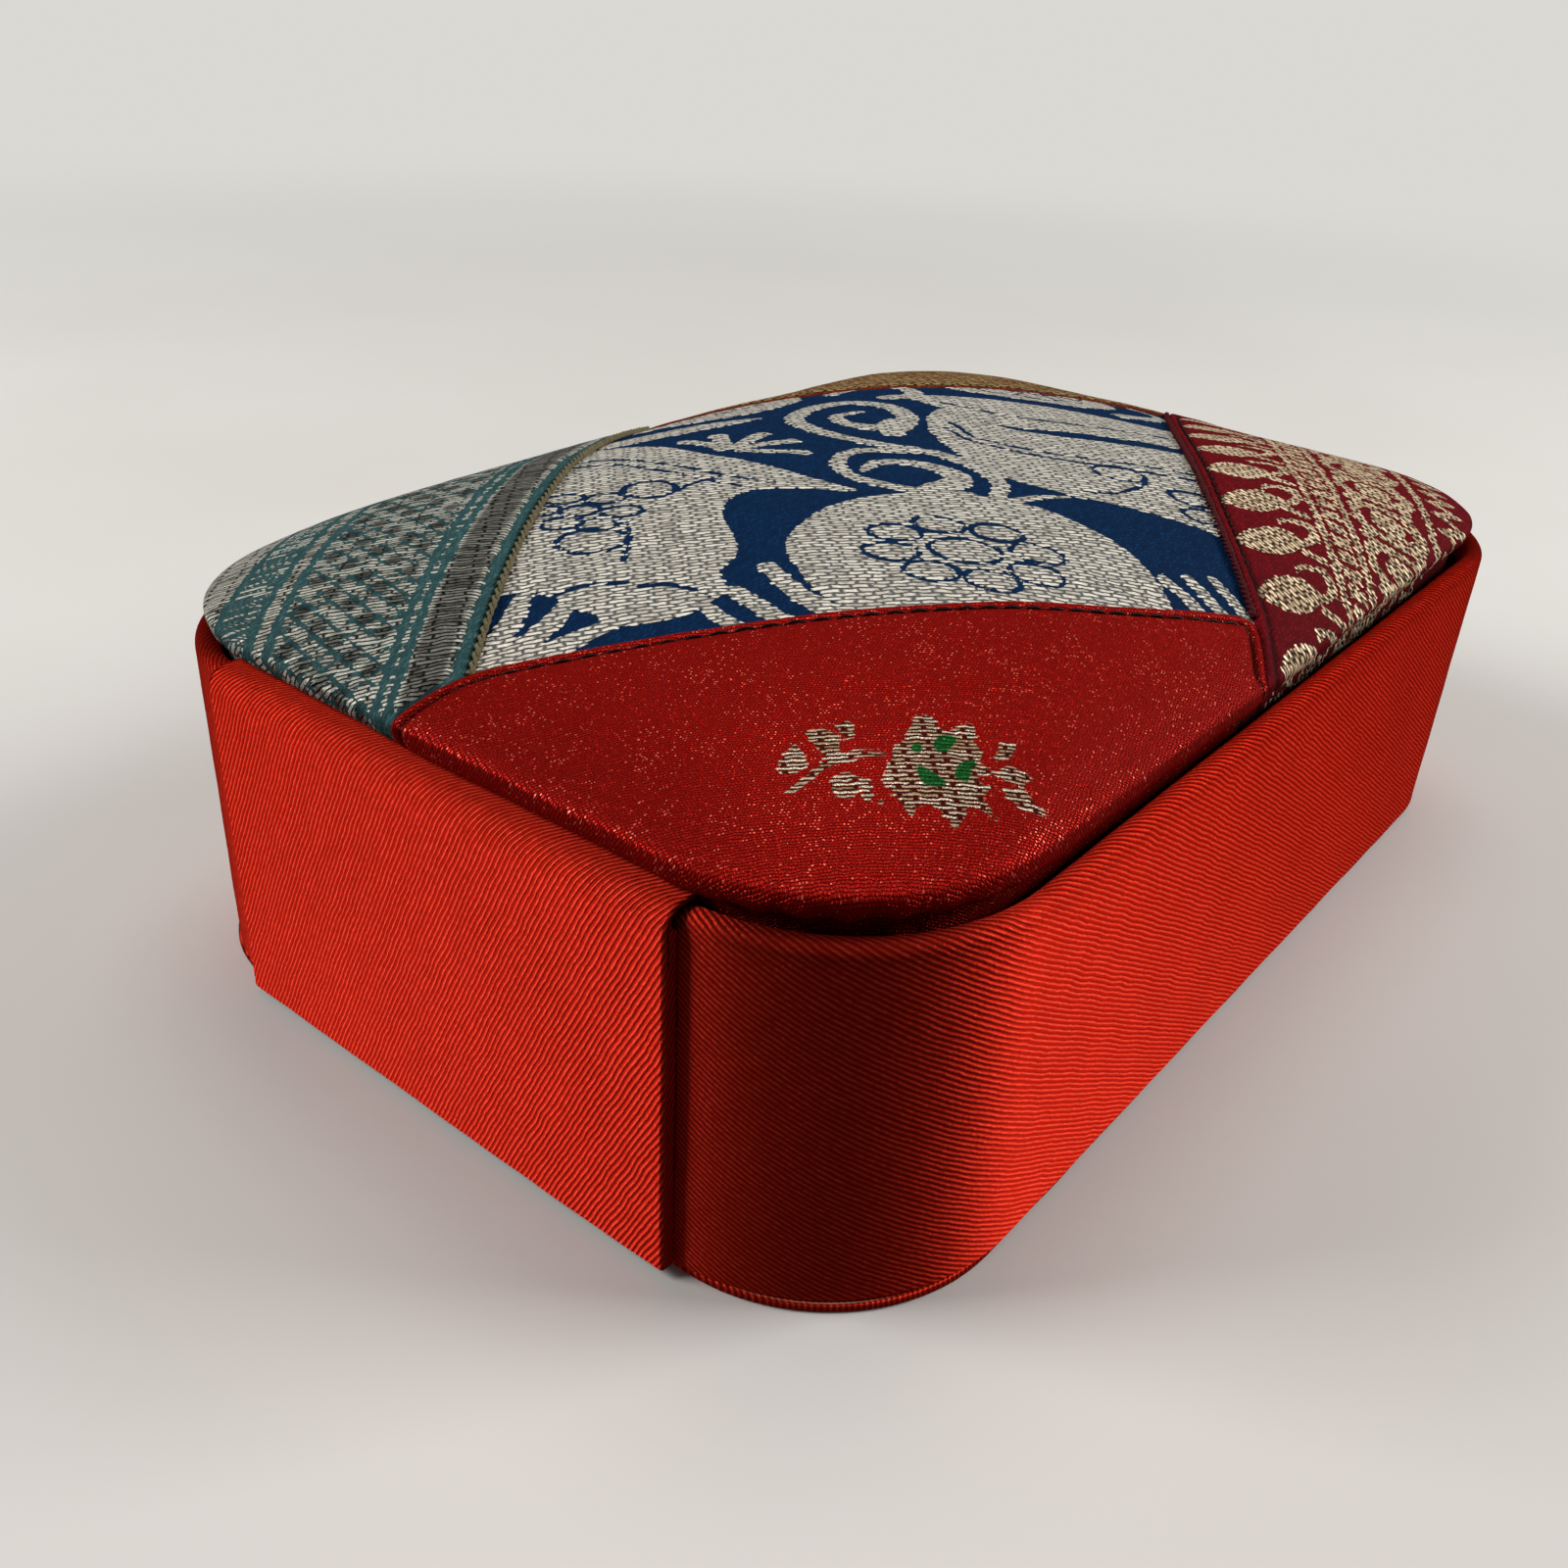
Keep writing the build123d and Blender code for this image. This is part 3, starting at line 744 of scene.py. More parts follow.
# %% The drawn shapes
line_half = 0.33
navy_shapes = [
    [(-60, 2), (-50, 3), (-41, 0), (-34, -6), (-26, -10.5), (-18, -16), (-10, -22), (-18, -22),
     (-24, -23), (-28, -27), (-29, -33), (-27, -39), (-26, -45), (-28, -50), (-27, -55), (-31, -60),
     (-38, -62), (-45, -58), (-51, -53), (-60, -51), (-66, -30)],
    [(-20, -41), (-15, -30), (-8, -24), (3, -21), (14, -22), (24, -28), (30, -36), (32, -47),
     (26, -58), (14, -64), (0, -64), (-12, -58), (-18, -50)],
    [(3, 23), (2, 14), (5, 2), (9, -8), (14, -13), (21, -16), (29, -17), (38, -18), (47, -20),
     (56, -21), (56, 0), (50, 14), (34, 15), (22, 16), (12, 21), (6, 27)],
    [(0, 37), (6, 27), (14, 20), (24, 19), (36, 19), (50, 21), (58, 34), (34, 38), (14, 39)],
    [(-50, 4), (-42, 7), (-33, 13), (-25, 19), (-35, 18), (-46, 13), (-54, 9)],
    [(-48, 24), (-36, 22), (-25, 27), (-19, 37), (-24, 46), (-35, 46), (-46, 38)],
]
navy_strokes = [
    ([(10, -22), (11, -15), (8, -7), (2, -1), (-4, 1), (-11, 4), (-17, 9), (-20, 17), (-17, 26),
      (-11, 30), (-4, 27), (-1, 18), (-4, 9)], 1.4, 2.0),
    ([(-3, 16), (-6, 12), (-11, 13), (-13, 18), (-9, 22)], 2.2, 0.9),
    ([(6, -21), (0, -21), (-6, -19), (-11, -15), (-13, -9), (-10, -3), (-3, -1)], 1.3, 1.3),
    ([(1, -20), (5, -15), (3, -10), (-2, -7), (-7, -8), (-9, -12)], 2.6, 0.9),
    ([(12, -22), (16, -19), (21, -17)], 1.2, 0.6), ([(-22, -49), (-18, -56), (-12, -62)], 1.4, 1.8),
    ([(-26, -55), (-22, -60), (-17, -65)], 1.3, 1.6),
    ([(-29, -59), (-26, -63), (-21, -67)], 1.1, 1.4),
    ([(-17, -50), (-14, -55), (-9, -60)], 1.3, 1.8),
    ([(-53, -54), (-54, -61), (-57, -68)], 1.4, 2.2),
    ([(-47, -57), (-50, -63), (-55, -69)], 1.5, 2.2),
    ([(-40, -61), (-46, -65), (-53, -70)], 1.4, 2.4), ([(-31, -4), (-34, 0), (-37, 2)], 1.0, 1.5),
    ([(-30, -3), (-31, 1), (-32, 5)], 1.0, 1.6), ([(-29, -3), (-27, 1), (-25, 5)], 1.0, 1.6),
    ([(-28, -4), (-24, -1), (-20, 1)], 1.0, 1.4), ([(-28, -5), (-23, -5), (-18, -5)], 0.9, 1.2),
    ([(32, -37), (36, -42), (38, -48)], 1.1, 1.6), ([(36, -35), (40, -41), (43, -46)], 1.1, 1.6),
    ([(40, -33), (44, -39), (48, -44)], 1.1, 1.4),
    ([(-14, 40), (-6, 46), (0, 44), (1, 38), (-4, 35)], 1.2, 2.0),
    ([(-10, 50), (-2, 56), (2, 64), (10, 72), (22, 76)], 1.8, 1.0),
    ([(40, 44), (47, 50), (50, 58), (44, 66)], 1.9, 0.8),
]
navy_lines = [
    [(-60, -8), (-48, -7), (-38, -12), (-30, -17), (-22, -20)],
    [(-60, -11), (-48, -10), (-39, -15), (-31, -20), (-26, -22)],
    [(-36, -24), (-34, -21), (-30, -18)], [(-42, -34), (-41, -39), (-41, -46)],
    [(-49, -54), (-45, -52), (-40, -52)], [(-38, -53), (-34, -53), (-29, -56)],
    [(6, 18), (12, 8), (24, 3), (40, 3), (56, 4)], [(5, 14), (12, 5), (24, 0), (40, 0), (56, 1)],
    [(24, -14), (29, -12), (34, -7), (35, -3)], [(4, 33), (16, 27), (34, 26), (52, 28)],
    [(-44, 30), (-34, 30), (-26, 38)],
]
navy_loops = [
    ((-40, -23), 3.8, 3.4), ((-46, -40), 4.8, 3.6), ((31, -3), 4.2, 3.0), ((42, -8), 4, 2.4),
    ((43, -14), 4, 2.4), ((49, -11), 4, 2.6), ((4, -41), 5.0, 3.6), ((22, 56), 5, 3.6),
    ((-35, 35), 4, 3.4),
]
navy_berries = [
    (-52, -25), (-46, -26), (-55, -29), (-49, -30), (-43, -31), (-51, -34), (-46, -35),
]
sprig_shapes = [
    [(-4.1, -81.4), (-2.4, -81.4), (-1.2, -83.4), (1.8, -81.3), (2.4, -83), (2.2, -84.7),
     (3.2, -85.4), (2.5, -87.4), (3.9, -88.3), (2.2, -90), (4.1, -90.6), (2.7, -92.2), (4.4, -95.1),
     (1.2, -94), (0.2, -96.3), (-0.9, -97.2), (-2.5, -95), (-3.9, -94.6), (-5.2, -96.5),
     (-6.3, -95.4), (-7, -94), (-8.2, -92.2), (-7.5, -89.7), (-7, -87.3), (-5.7, -85)],
    [(-17.5, -87.2), (-16.5, -88.9), (-16.2, -90.6), (-18.1, -92.1), (-19.3, -90.7),
     (-18.7, -88.9)],
    [(-16.5, -85.6), (-15.4, -84.6), (-13.7, -85), (-12.7, -86), (-12.6, -88.6), (-13.9, -89.9),
     (-14.7, -88.8)],
    [(-13.1, -83.9), (-11.6, -83.1), (-11.1, -85), (-11.5, -86.4), (-12.6, -85.6)],
    [(-13.8, -93), (-13, -91.6), (-11.4, -91.2), (-10.7, -93.2), (-11.6, -95.1), (-13.4, -94.3)],
    [(-10.6, -92.1), (-9.4, -92.4), (-9.3, -94.9), (-10.2, -94.9)],
    [(-9, -95), (-7.9, -94.6), (-8.2, -95.8)],
    [(4.1, -85.8), (5.6, -83), (6.9, -83.4), (6.1, -85.6), (4.3, -86.7)],
    [(4.2, -88.2), (5.8, -86.8), (8.4, -87.5), (7.2, -88.9), (4.6, -89.1)],
    [(4.8, -90.4), (6.6, -89.4), (8.5, -90.8), (10, -91.8), (7.8, -92.4), (5.2, -91.6)],
]
sprig_strokes = [
    ([(-7.6, -88.2), (-10.4, -88.5), (-12.5, -89.1)], 0.35, 0.6),
    ([(-12, -89.2), (-14.3, -90.5), (-16.6, -93), (-18.2, -94.7)], 0.75, 0.35),
]
sprig_leaves = [
    [(-2.6, -86.3), (-1.8, -84.3), (0.1, -84.2), (-0.6, -85.9), (-1.5, -86.9)],
    [(-5.1, -86.8), (-4.3, -86), (-3.7, -87), (-4.5, -87.6)],
    [(0.3, -88), (2.1, -87.2), (1.4, -88.9), (1, -90.6), (-0.4, -90.2)],
    [(-4.6, -89.4), (-3.1, -89.9), (-1.2, -91.5), (-3.4, -92.2), (-4.3, -90.9)],
]


def navy_figure(plan):
    """The navy cloth's figure, in the photograph's axes: mangoes, a round flower and scrolls, with
    fine lines of bare navy cut into them."""
    figure = np.maximum(drawn(plan, navy_shapes, navy_strokes),
                        inside_ellipse(plan, (22, 56), 19, 13))
    loops = navy_loops + [(berry, 2.9, 1.9) for berry in navy_berries]
    for middle, wide, deep in (((4, -41), 10.5, 8.0), ((22, 56), 9.5, 7.0)):
        for turn in np.arange(8) * np.pi / 4 + 0.3:
            petal = (middle[0] + wide * np.cos(turn), middle[1] + deep * np.sin(turn))
            loops.append((petal, 3.7, 2.7))
    cuts = [line_half + inside_band(curve_through(points), plan) for points in navy_lines]
    cuts += [line_half - np.abs(inside_ellipse(plan, *loop)) for loop in loops]
    return np.minimum(figure, -np.max(cuts, axis=0))


def wave(value, period):
    """A triangle wave from -1 to 1 of a period in millimetres."""
    return 4 * np.abs(np.mod(value / period, 1.0) - 0.5) - 1


def between(value, low, high):
    """Millimetres inside a band from low to high."""
    return np.minimum(value - low, high - value)


def maroon_figure(along, out):
    """Bands beside the seam: a row of leaning mangoes with curled ends, a rope of squares between
    two cords, then a scrolling band, a third cord and chevrons."""
    pitch, lean = 13.1, 0.58
    cell = (np.mod((along - lean * out + 1.2) / pitch, 1.0) - 0.5) * pitch
    reach = np.clip((out - 1.2) / 12.6, 0, 1)
    belly = 5.3 * np.sin(np.pi * reach ** 0.85) ** 0.75 * (0.55 + 0.45 * reach)
    mango = np.minimum(belly - np.abs(cell + 0.6), out - 1.2)
    curl = np.hypot(cell - 2.4, (out - 12.6) * 0.95)
    hook = np.minimum(0.95 - np.abs(curl - 3.6), out - 10.2)
    tail = np.minimum(1.0 - np.abs(cell + 4.2 + (out - 14.5) * 0.7), out - 12.4)
    hook = np.minimum(np.maximum(hook, tail), 17.2 - out)
    cords = [0.75 - np.abs(out - c) + 0.25 * np.sin(along * 4.2) for c in (18.4, 24.2, 41.5)]
    square = np.minimum(1.7 - np.abs(out - 21.3), 1.65 - np.abs(np.mod(along, 4.2) - 2.1))
    big = (np.mod((along + 3) / 14.0, 1.0) - 0.5) * 14.0
    far = out - 32.5
    ring = 1.1 - np.abs(np.hypot(big, far * 0.9) - 5.6)
    heart = 3.1 - np.hypot(big * 0.8, far)
    vine = 1.0 - np.abs(far - 5.6 * np.sin(along * np.pi / 14.0 * 2))
    sprigs = 1.3 - np.hypot(np.abs(big) - 5.8, np.abs(far) - 4.4)
    scroll = np.minimum(np.max([ring, heart, vine, sprigs], axis=0), between(out, 25.8, 39.8))
    chevron = np.minimum(1.5 - np.abs(wave(along, 6.5) * 2.2 - (out - 46.5)), out - 43.0)
    return np.max([mango, hook, *cords, square, scroll, chevron], axis=0)


def teal_figure(along, out):
    """Metal floats all over, but for bare teal stripes: beside the seam, two lines, then a lattice
    of fine lines, and more stripes near the lid's corner."""
    stripes = [0.65 - np.abs(out - c) for c in (1.2, 8.4, 10.2, 28.3, 31.4, 37.6)]
    diamond = np.minimum(np.abs(wave(along + out, 6.4)), np.abs(wave(along - out, 6.4))) * 1.6
    lattice = np.where(between(out, 11.2, 27.4) > 0, 0.3 - diamond, -1.0)
    fine = np.where(between(out, 32.3, 36.6) > 0, 0.25 - np.abs(wave(out, 1.6)) * 0.5, -1.0)
    return -np.max([*stripes, lattice, fine], axis=0)


def teal_shade(along, out):
    """Where the teal cloth's metal has gone dark: the first band and every other lozenge."""
    band = np.clip(between(out, 2.4, 7.5) * 2, 0, 1) * 0.6
    lozenge = np.clip(wave(along, 6.4) * wave(out, 6.4) * 2.4, 0, 1)
    return band + lozenge * 0.75 * np.clip(between(out, 11.2, 27.4), 0, 1) + 0.3


def rust_figure(along, out):
    """Broad gold chevrons with plain rust between them."""
    chevron = 1.5 - np.abs(wave(out + np.abs(wave(along, 9.0)) * 2.2, 5.4)) * 1.9
    return np.maximum(between(out, 0.4, 5.0), chevron)


# %% [markdown]
# ## The patches
# The navy middle is laid first, on a grid stretched between its four seams. Each corner patch then
# laps over it: its edge is folded under, so it ends in a soft roll, and a line of stitches sinks in
# just inside. So a corner patch is ruled from its folded edge to the rim of the lid, with its first
# rows close together to shape the fold, and goes on down the side and under the board.

# %% The navy middle
view_angle = np.radians(217.8)
to_right = np.array([np.cos(view_angle), np.sin(view_angle)])
to_far = np.array([-to_right[1], to_right[0]])
navy_columns, navy_rows = 300, 250
navy_lap = 1.02
float_height = 0.12


def view_axes(plan):
    """Places along the photograph's right and away from its camera."""
    return np.stack([plan @ to_right, plan @ to_far], axis=-1)


def navy_plan():
    """A grid between the four seams: opposite sides blended, less the blend of the corners, and
    scaled up a little so that it runs under the folded edges of its neighbours."""
    u = np.linspace(0, 1, navy_columns)[None, :, None]
    v = np.linspace(0, 1, navy_rows)[:, None, None]
    near, far = walked(seam(0), navy_columns), walked(seam(2), navy_columns)[::-1]
    right, left = walked(seam(1), navy_rows)[:, None], walked(seam(3), navy_rows)[::-1, None]
    first, second, third, fourth = meetings
    blend = (near * (1 - v) + far * v + left * (1 - u) + right * u
             - (first * (1 - u) + second * u) * (1 - v) - (third * u + fourth * (1 - u)) * v)
    return (blend - lid_middle) * navy_lap + lid_middle


plan = navy_plan()
share = share_at(plan)
walk = walk_at(plan, share)
points, flat = lid_surface(walk, share)
figure = navy_figure(view_axes(plan))
lift = puff_at(walk, share) - puff_sink + float_height * np.clip(figure * 2 + 0.5, 0, 1)
points = points + normals_of(points, (0, 0, 1)) * lift[..., None]
navy_mesh = grid_mesh("lid_patch_navy", points, view_axes(flat))
with_field(navy_mesh, "figure", figure)
with_field(navy_mesh, "shade", np.zeros(figure.shape))
navy = piece("lid_patch_navy", navy_mesh, navy_silver, "lid")
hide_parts("patch_navy")

# %% The corner patches
fold_steps = np.array([0, 0.12, 0.28, 0.5, 0.75, 1.05, 1.35, 1.6, 1.85, 2.1, 2.4, 2.8, 3.4, 4.2])
skirt_rows = np.concatenate([np.linspace(1, 2, 9)[1:], np.linspace(2, 3, 5)[1:],
                             np.linspace(3, 4, 4)[1:]])
edge_points = 800
under_edge = 0.25
stitch_inset = 1.75
groove_width, seam_shade_width = 0.38, 0.42
# Painted shade: a dark band along the stitch line, the skirt darkened under the lid's edge, and the
# red patch's outer crown.
seam_painted_shade, hem_painted_shade, side_painted_shade = 0.9, 0.9, 0.25
settle_from, settle_length = 4.0, 9.0
skirt_share = 0.25
hem_from = 2.9
bare_fold, clear_of_fold = 1.7, 3.0
pleat_height, pleats_per_walk, pleat_spread, pleats_end = 0.22, 9, 0.42, 2.4
wave_height, wave_length, wave_count = 0.1, 26, 5


def patch_edge(i, rounding, past_start, past_end, count):
    """The folded edge of corner patch i in plan, from the lid's edge round both meeting points and
    back to the lid's edge, its corners rounded by a running mean. It can run past a short seam."""
    after = (i + 1) % 4
    start, _, end = seam(i, 3)
    onward = unit(end - start)
    line = np.concatenate([np.linspace(edge_ends[i], meetings[i], 30) - onward * past_start,
                           seam(i)[1:-1],
                           np.linspace(meetings[after], edge_ends[after], 30) + onward * past_end])
    line = walked(line, edge_points)
    window = int(rounding / (lengths_along(line)[-1] / edge_points)) | 1
    half = window // 2
    wide = np.concatenate([2 * line[:1] - line[half:0:-1], line,
                           2 * line[-1:] - line[-2:-half - 2:-1]])
    kernel = np.hanning(window + 2)[1:-1]
    kernel /= kernel.sum()
    line = np.stack([np.convolve(wide[:, k], kernel, mode="valid") for k in range(2)], axis=-1)
    return walked(line, count)


def corner_grid(i, edge, columns, rows):
    """Walk and profile of each point of corner patch i: ruled from its folded edge to the lid's
    widest line, its first rows close together, and then down the skirt. Also its middle walk."""
    share = np.minimum(share_at(edge), 1.0)
    walk = walk_at(edge, share)
    middle_walk = (2 * i + 3) % 8 + 0.5
    walk = walk + 8 * np.round((middle_walk - walk) / 8)
    all_walks = np.linspace(walk[0], walk[-1], 400)
    lengths = lengths_along(outline(all_walks, *level(1.0))[0])
    rim_walk = np.interp(np.linspace(0, lengths[-1], columns), lengths, all_walks)
    near, _ = lid_surface(walk, share)
    far, _ = lid_surface(rim_walk, np.ones(columns))
    reach = np.linalg.norm(far - near, axis=-1)
    close_rows = fold_steps[:, None] / np.maximum(reach, 2.2 * fold_steps[-1])
    far_rows = close_rows[-1] + (1 - close_rows[-1]) * np.linspace(0, 1, rows)[1:, None]
    ruled = np.concatenate([close_rows, far_rows])
    skirt_profile = np.repeat(skirt_rows[:, None], columns, axis=1)
    walks = np.concatenate([walk + (rim_walk - walk) * ruled,
                            np.broadcast_to(rim_walk, skirt_profile.shape)])
    return walks, np.concatenate([share + (1 - share) * ruled, skirt_profile]), middle_walk


def corner_patch(i, columns, rows, rounding, past, base_lift, fold_height, stitch_depth, fold_wide):
    """Corner patch i: its places, flat cloth, plan, distance from the fold, painted shade and fold
    line.
    """
    edge = patch_edge(i, rounding, *past, columns)
    walk, profile, middle_walk = corner_grid(i, edge, columns, rows)
    points, flat = lid_surface(walk, profile)
    distance = -inside_band(edge, points[..., :2])
    outer = np.clip(profile - 1, 0, 3)
    on_crown = np.minimum(profile, 1)
    fade = np.clip(1 - outer, 0, 1)
    round_edge = np.sqrt(np.clip(1 - (1 - np.clip(distance / fold_wide, 0, 1)) ** 2, 0, 1))
    settle = np.exp(-np.maximum(distance - settle_from, 0) / settle_length)
    height = under_edge + base_lift + (fold_height - base_lift) * settle
    stitched = stitch_depth * np.exp(-((distance - stitch_inset) / groove_width) ** 2)
    swelling = puff_at(walk, on_crown) - puff_sink * (1 - on_crown**6)
    lift = height * round_edge - under_edge - stitched
    lift = lift * (skirt_share + (1 - skirt_share) * fade) + swelling * fade
    corner_share = np.exp(-((np.mod(walk - middle_walk + 4, 8) - 4) / pleat_spread) ** 2)
    pleats = np.sin(walk * 2 * np.pi * pleats_per_walk) * corner_share * np.clip(outer * 1.6, 0, 1)
    lift += pleat_height * pleats * (outer < pleats_end)
    lift += wave_height * ripples(flat[..., 0], flat[..., 1], wave_length, wave_count, i)
    outward = points - lid_heart
    normals = normals_of(points, outward)
    normals[profile > hem_from] = (0, 0, -1)
    thin = np.linalg.norm(normals, axis=-1, keepdims=True) < 0.5
    normals = np.where(thin, unit(outward), normals)
    # Painted shade along the stitch groove, down the skirt under the lid, and on the red patch's
    # outer crown.
    shade = seam_painted_shade * np.exp(-((distance - stitch_inset) / seam_shade_width) ** 2)
    shade += hem_painted_shade * np.clip(outer - 1, 0, 1)
    shade += side_painted_shade * (i == 0) * np.clip((on_crown - 0.85) / 0.12, 0, 1) * fade
    return points + normals * lift[..., None], flat, unfolded(walk, profile), distance, shade, edge


patch_table = (
    ("red", 0, 220, 110, 18.0, (0.0, 0.0), 0.55, 1.0, 0.55, 0.75, red_shot, "red_shot_satin"),
    ("maroon", 1, 240, 90, 4.0, (1.2, 0.0), 0.1, 0.7, 0.3, 0.8, maroon_gold, "maroon_brocade"),
    ("rust", 2, 200, 70, 4.0, (3.0, 3.0), -0.7, 0.3, 0.2, 0.8, rust_gold, "rust_brocade"),
    ("teal", 3, 240, 90, 4.0, (0.0, 1.2), 0.1, 0.7, 0.3, 0.8, teal_silver, "teal_brocade"),
)
seam_figures = {"maroon": maroon_figure, "rust": rust_figure, "teal": teal_figure}
folded_edges, patch_pieces = {}, {}
for name, i, *shape, finish, slot in patch_table:
    points, flat, plan, distance, shade, folded_edges[name] = corner_patch(i, *shape)
    mesh = grid_mesh("lid_patch_" + name, points, view_axes(flat), flip=True)
    if name == "red":
        figure = drawn(view_axes(plan), sprig_shapes, sprig_strokes)
        with_field(mesh, "leaf", drawn(view_axes(plan), sprig_leaves))
    else:
        axes = seam_axes(i, plan)
        figure = np.where(distance < bare_fold, -1.0, seam_figures[name](*axes))
        if name == "teal":
            # The teal keeps no painted shade by its fold; its shade field also holds the darker
            # metal of its pattern.
            shade = np.maximum(shade * (distance > clear_of_fold), teal_shade(*axes))
    with_field(mesh, "shade", shade)
    with_field(mesh, "figure", figure)
    made = piece("lid_patch_" + name, mesh, finish, "lid")
    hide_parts("patch_" + name)
    patch_pieces[name] = made

# %% [markdown]
# ## The padding
# Under the patches is a slab of polyester wadding with the same crown, cut a little smaller. It is
# closed, and follows the simulated sheet.

# %% Lid padding
pad_inset = 1.8
pad_walks = 160
walk = np.arange(pad_walks)[None, :] * 8 / pad_walks
profile = [*np.linspace(0.05, 1, 28), *np.linspace(1, 2, 7)[1:], 2.5, 3.0]
profile = np.array(profile)[:, None]
points, flat = lid_surface(walk, profile)
lift = puff_at(walk, np.minimum(profile, 1)) * (profile < 1) - pad_inset - puff_sink
points = points + normals_of(points, points - lid_heart, ring=True) * lift[..., None]
points[-1, :, 2] = lid_low[2] + 0.6
pad_mesh = grid_mesh("lid_wadding", points, np.concatenate([flat, flat[:, :1]], axis=1), ring=True,
                     caps=(True, True))
lid_wadding = piece("lid_wadding", pad_mesh, wadding, "lid")
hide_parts("lid_padding")

# %% [markdown]
# ## The case's cloth
# One strip of satin goes round the case: from under the band, up the outside, over the rim and down
# inside. It is glued, so it is almost flat, with only the faint waves that glue and board give it.

# %% Wall cloth
wall_columns = 480


def ring_mesh(name, profile, radius, half, waves=0.0, seed=1, closed=False, flip=False,
              walks=wall_columns, crown=None):
    """Cloth that goes all round the case, from a profile of insets and heights. Its flat cloth is
    the way round the outline and the way up the profile, or the plan itself where it is closed.
    A crown raises it by a function of the plan and the height."""
    insets, heights = np.array(profile, float).T[..., None]
    walk = np.broadcast_to(np.arange(walks) * 8 / walks, (len(insets), walks))
    place, normal = outline(walk, half[0] - insets, half[1] - insets,
                            np.maximum(radius - insets, 0.5))
    round_way = lengths_along(outline(np.linspace(0, 8, walks + 1), *half, radius)[0])[None, :]
    up = lengths_along(np.concatenate([insets, heights], axis=1))[:, None]
    place = place + normal * (waves * ripples(round_way[:, :-1], up, 38, 6, seed))[..., None]
    if closed:
        uv = np.concatenate([place, place[:, :1]], axis=1)
    else:
        uv = np.stack(np.broadcast_arrays(round_way, up), axis=-1)
    z = np.broadcast_to(heights, walk.shape)
    if crown is not None:
        z = z + crown(place[..., 0], place[..., 1], z)
    points = np.concatenate([place + (0, wall_middle_y), z[..., None]], axis=-1)
    return grid_mesh(name, points, uv, ring=True, caps=(closed, closed), flip=flip)


def arc(centre, radius, first, last, count):
    """Insets and heights on an arc about a centre, from one angle in degrees to another."""
    turn = np.radians(np.linspace(first, last, count))
    return np.array(centre) + radius * np.stack([np.cos(turn), np.sin(turn)], axis=-1)


rim_radius = 1.5
foot_radius = 0.5
rim_shade, rim_painted_shade = 3.2, 0.75
turn_in = 14.5
wall_base = wall_low[2]
roll_z = rim_z - rim_radius
wall_profile = np.concatenate([
    [(2.4, wall_base)], arc((foot_radius, wall_base + foot_radius), foot_radius, 270, 180, 5),
    np.linspace((0, wall_base + 1.5), (0, roll_z - 1), 30),
    arc((rim_radius, roll_z), rim_radius, 180, 90, 9),
    arc((wall_thickness - rim_radius, roll_z), rim_radius, 90, 0, 9),
    np.linspace((wall_thickness, roll_z - 1), (wall_thickness, rim_z - turn_in), 6)])
wall_mesh = ring_mesh("wall_cloth", wall_profile, wall_radius, wall_half, waves=0.09, seed=3)
# Painted shade: the satin grows darker over its top few millimetres, on the rim under the lid.
near_rim = np.clip((wall_profile[:, 1] - rim_z + rim_shade) / rim_shade, 0, 1)
with_field(wall_mesh, "shade", np.repeat(rim_painted_shade * near_rim ** 1.5, wall_columns))
wall_cloth = piece("wall_cloth", wall_mesh, wall_satin, "case")
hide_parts("wall_cover")

# %% [markdown]
# ## Spine panel and cloth hinge
# The spine is a board wrapped in its own piece of satin, and stands proud of the wall. At the top
# the same cloth rolls inward over the rim and runs under the lid: that is the hinge. So it is one
# sheet, and it rides on no body: neither the case nor the lid.

# %% Spine cloth
spine_low, spine_high = span("spine_cover")
hinge_low, hinge_high = span("hinge_cloth")
hinge_roll = 3.0
edge_round = 0.5
side_columns = 9
strip_columns = 180
roll_shade, roll_painted_shade = 3.6, 0.85
spine_bow, spine_waves = 0.18, 0.1
spine_half = (spine_high[0] - spine_low[0]) / 2


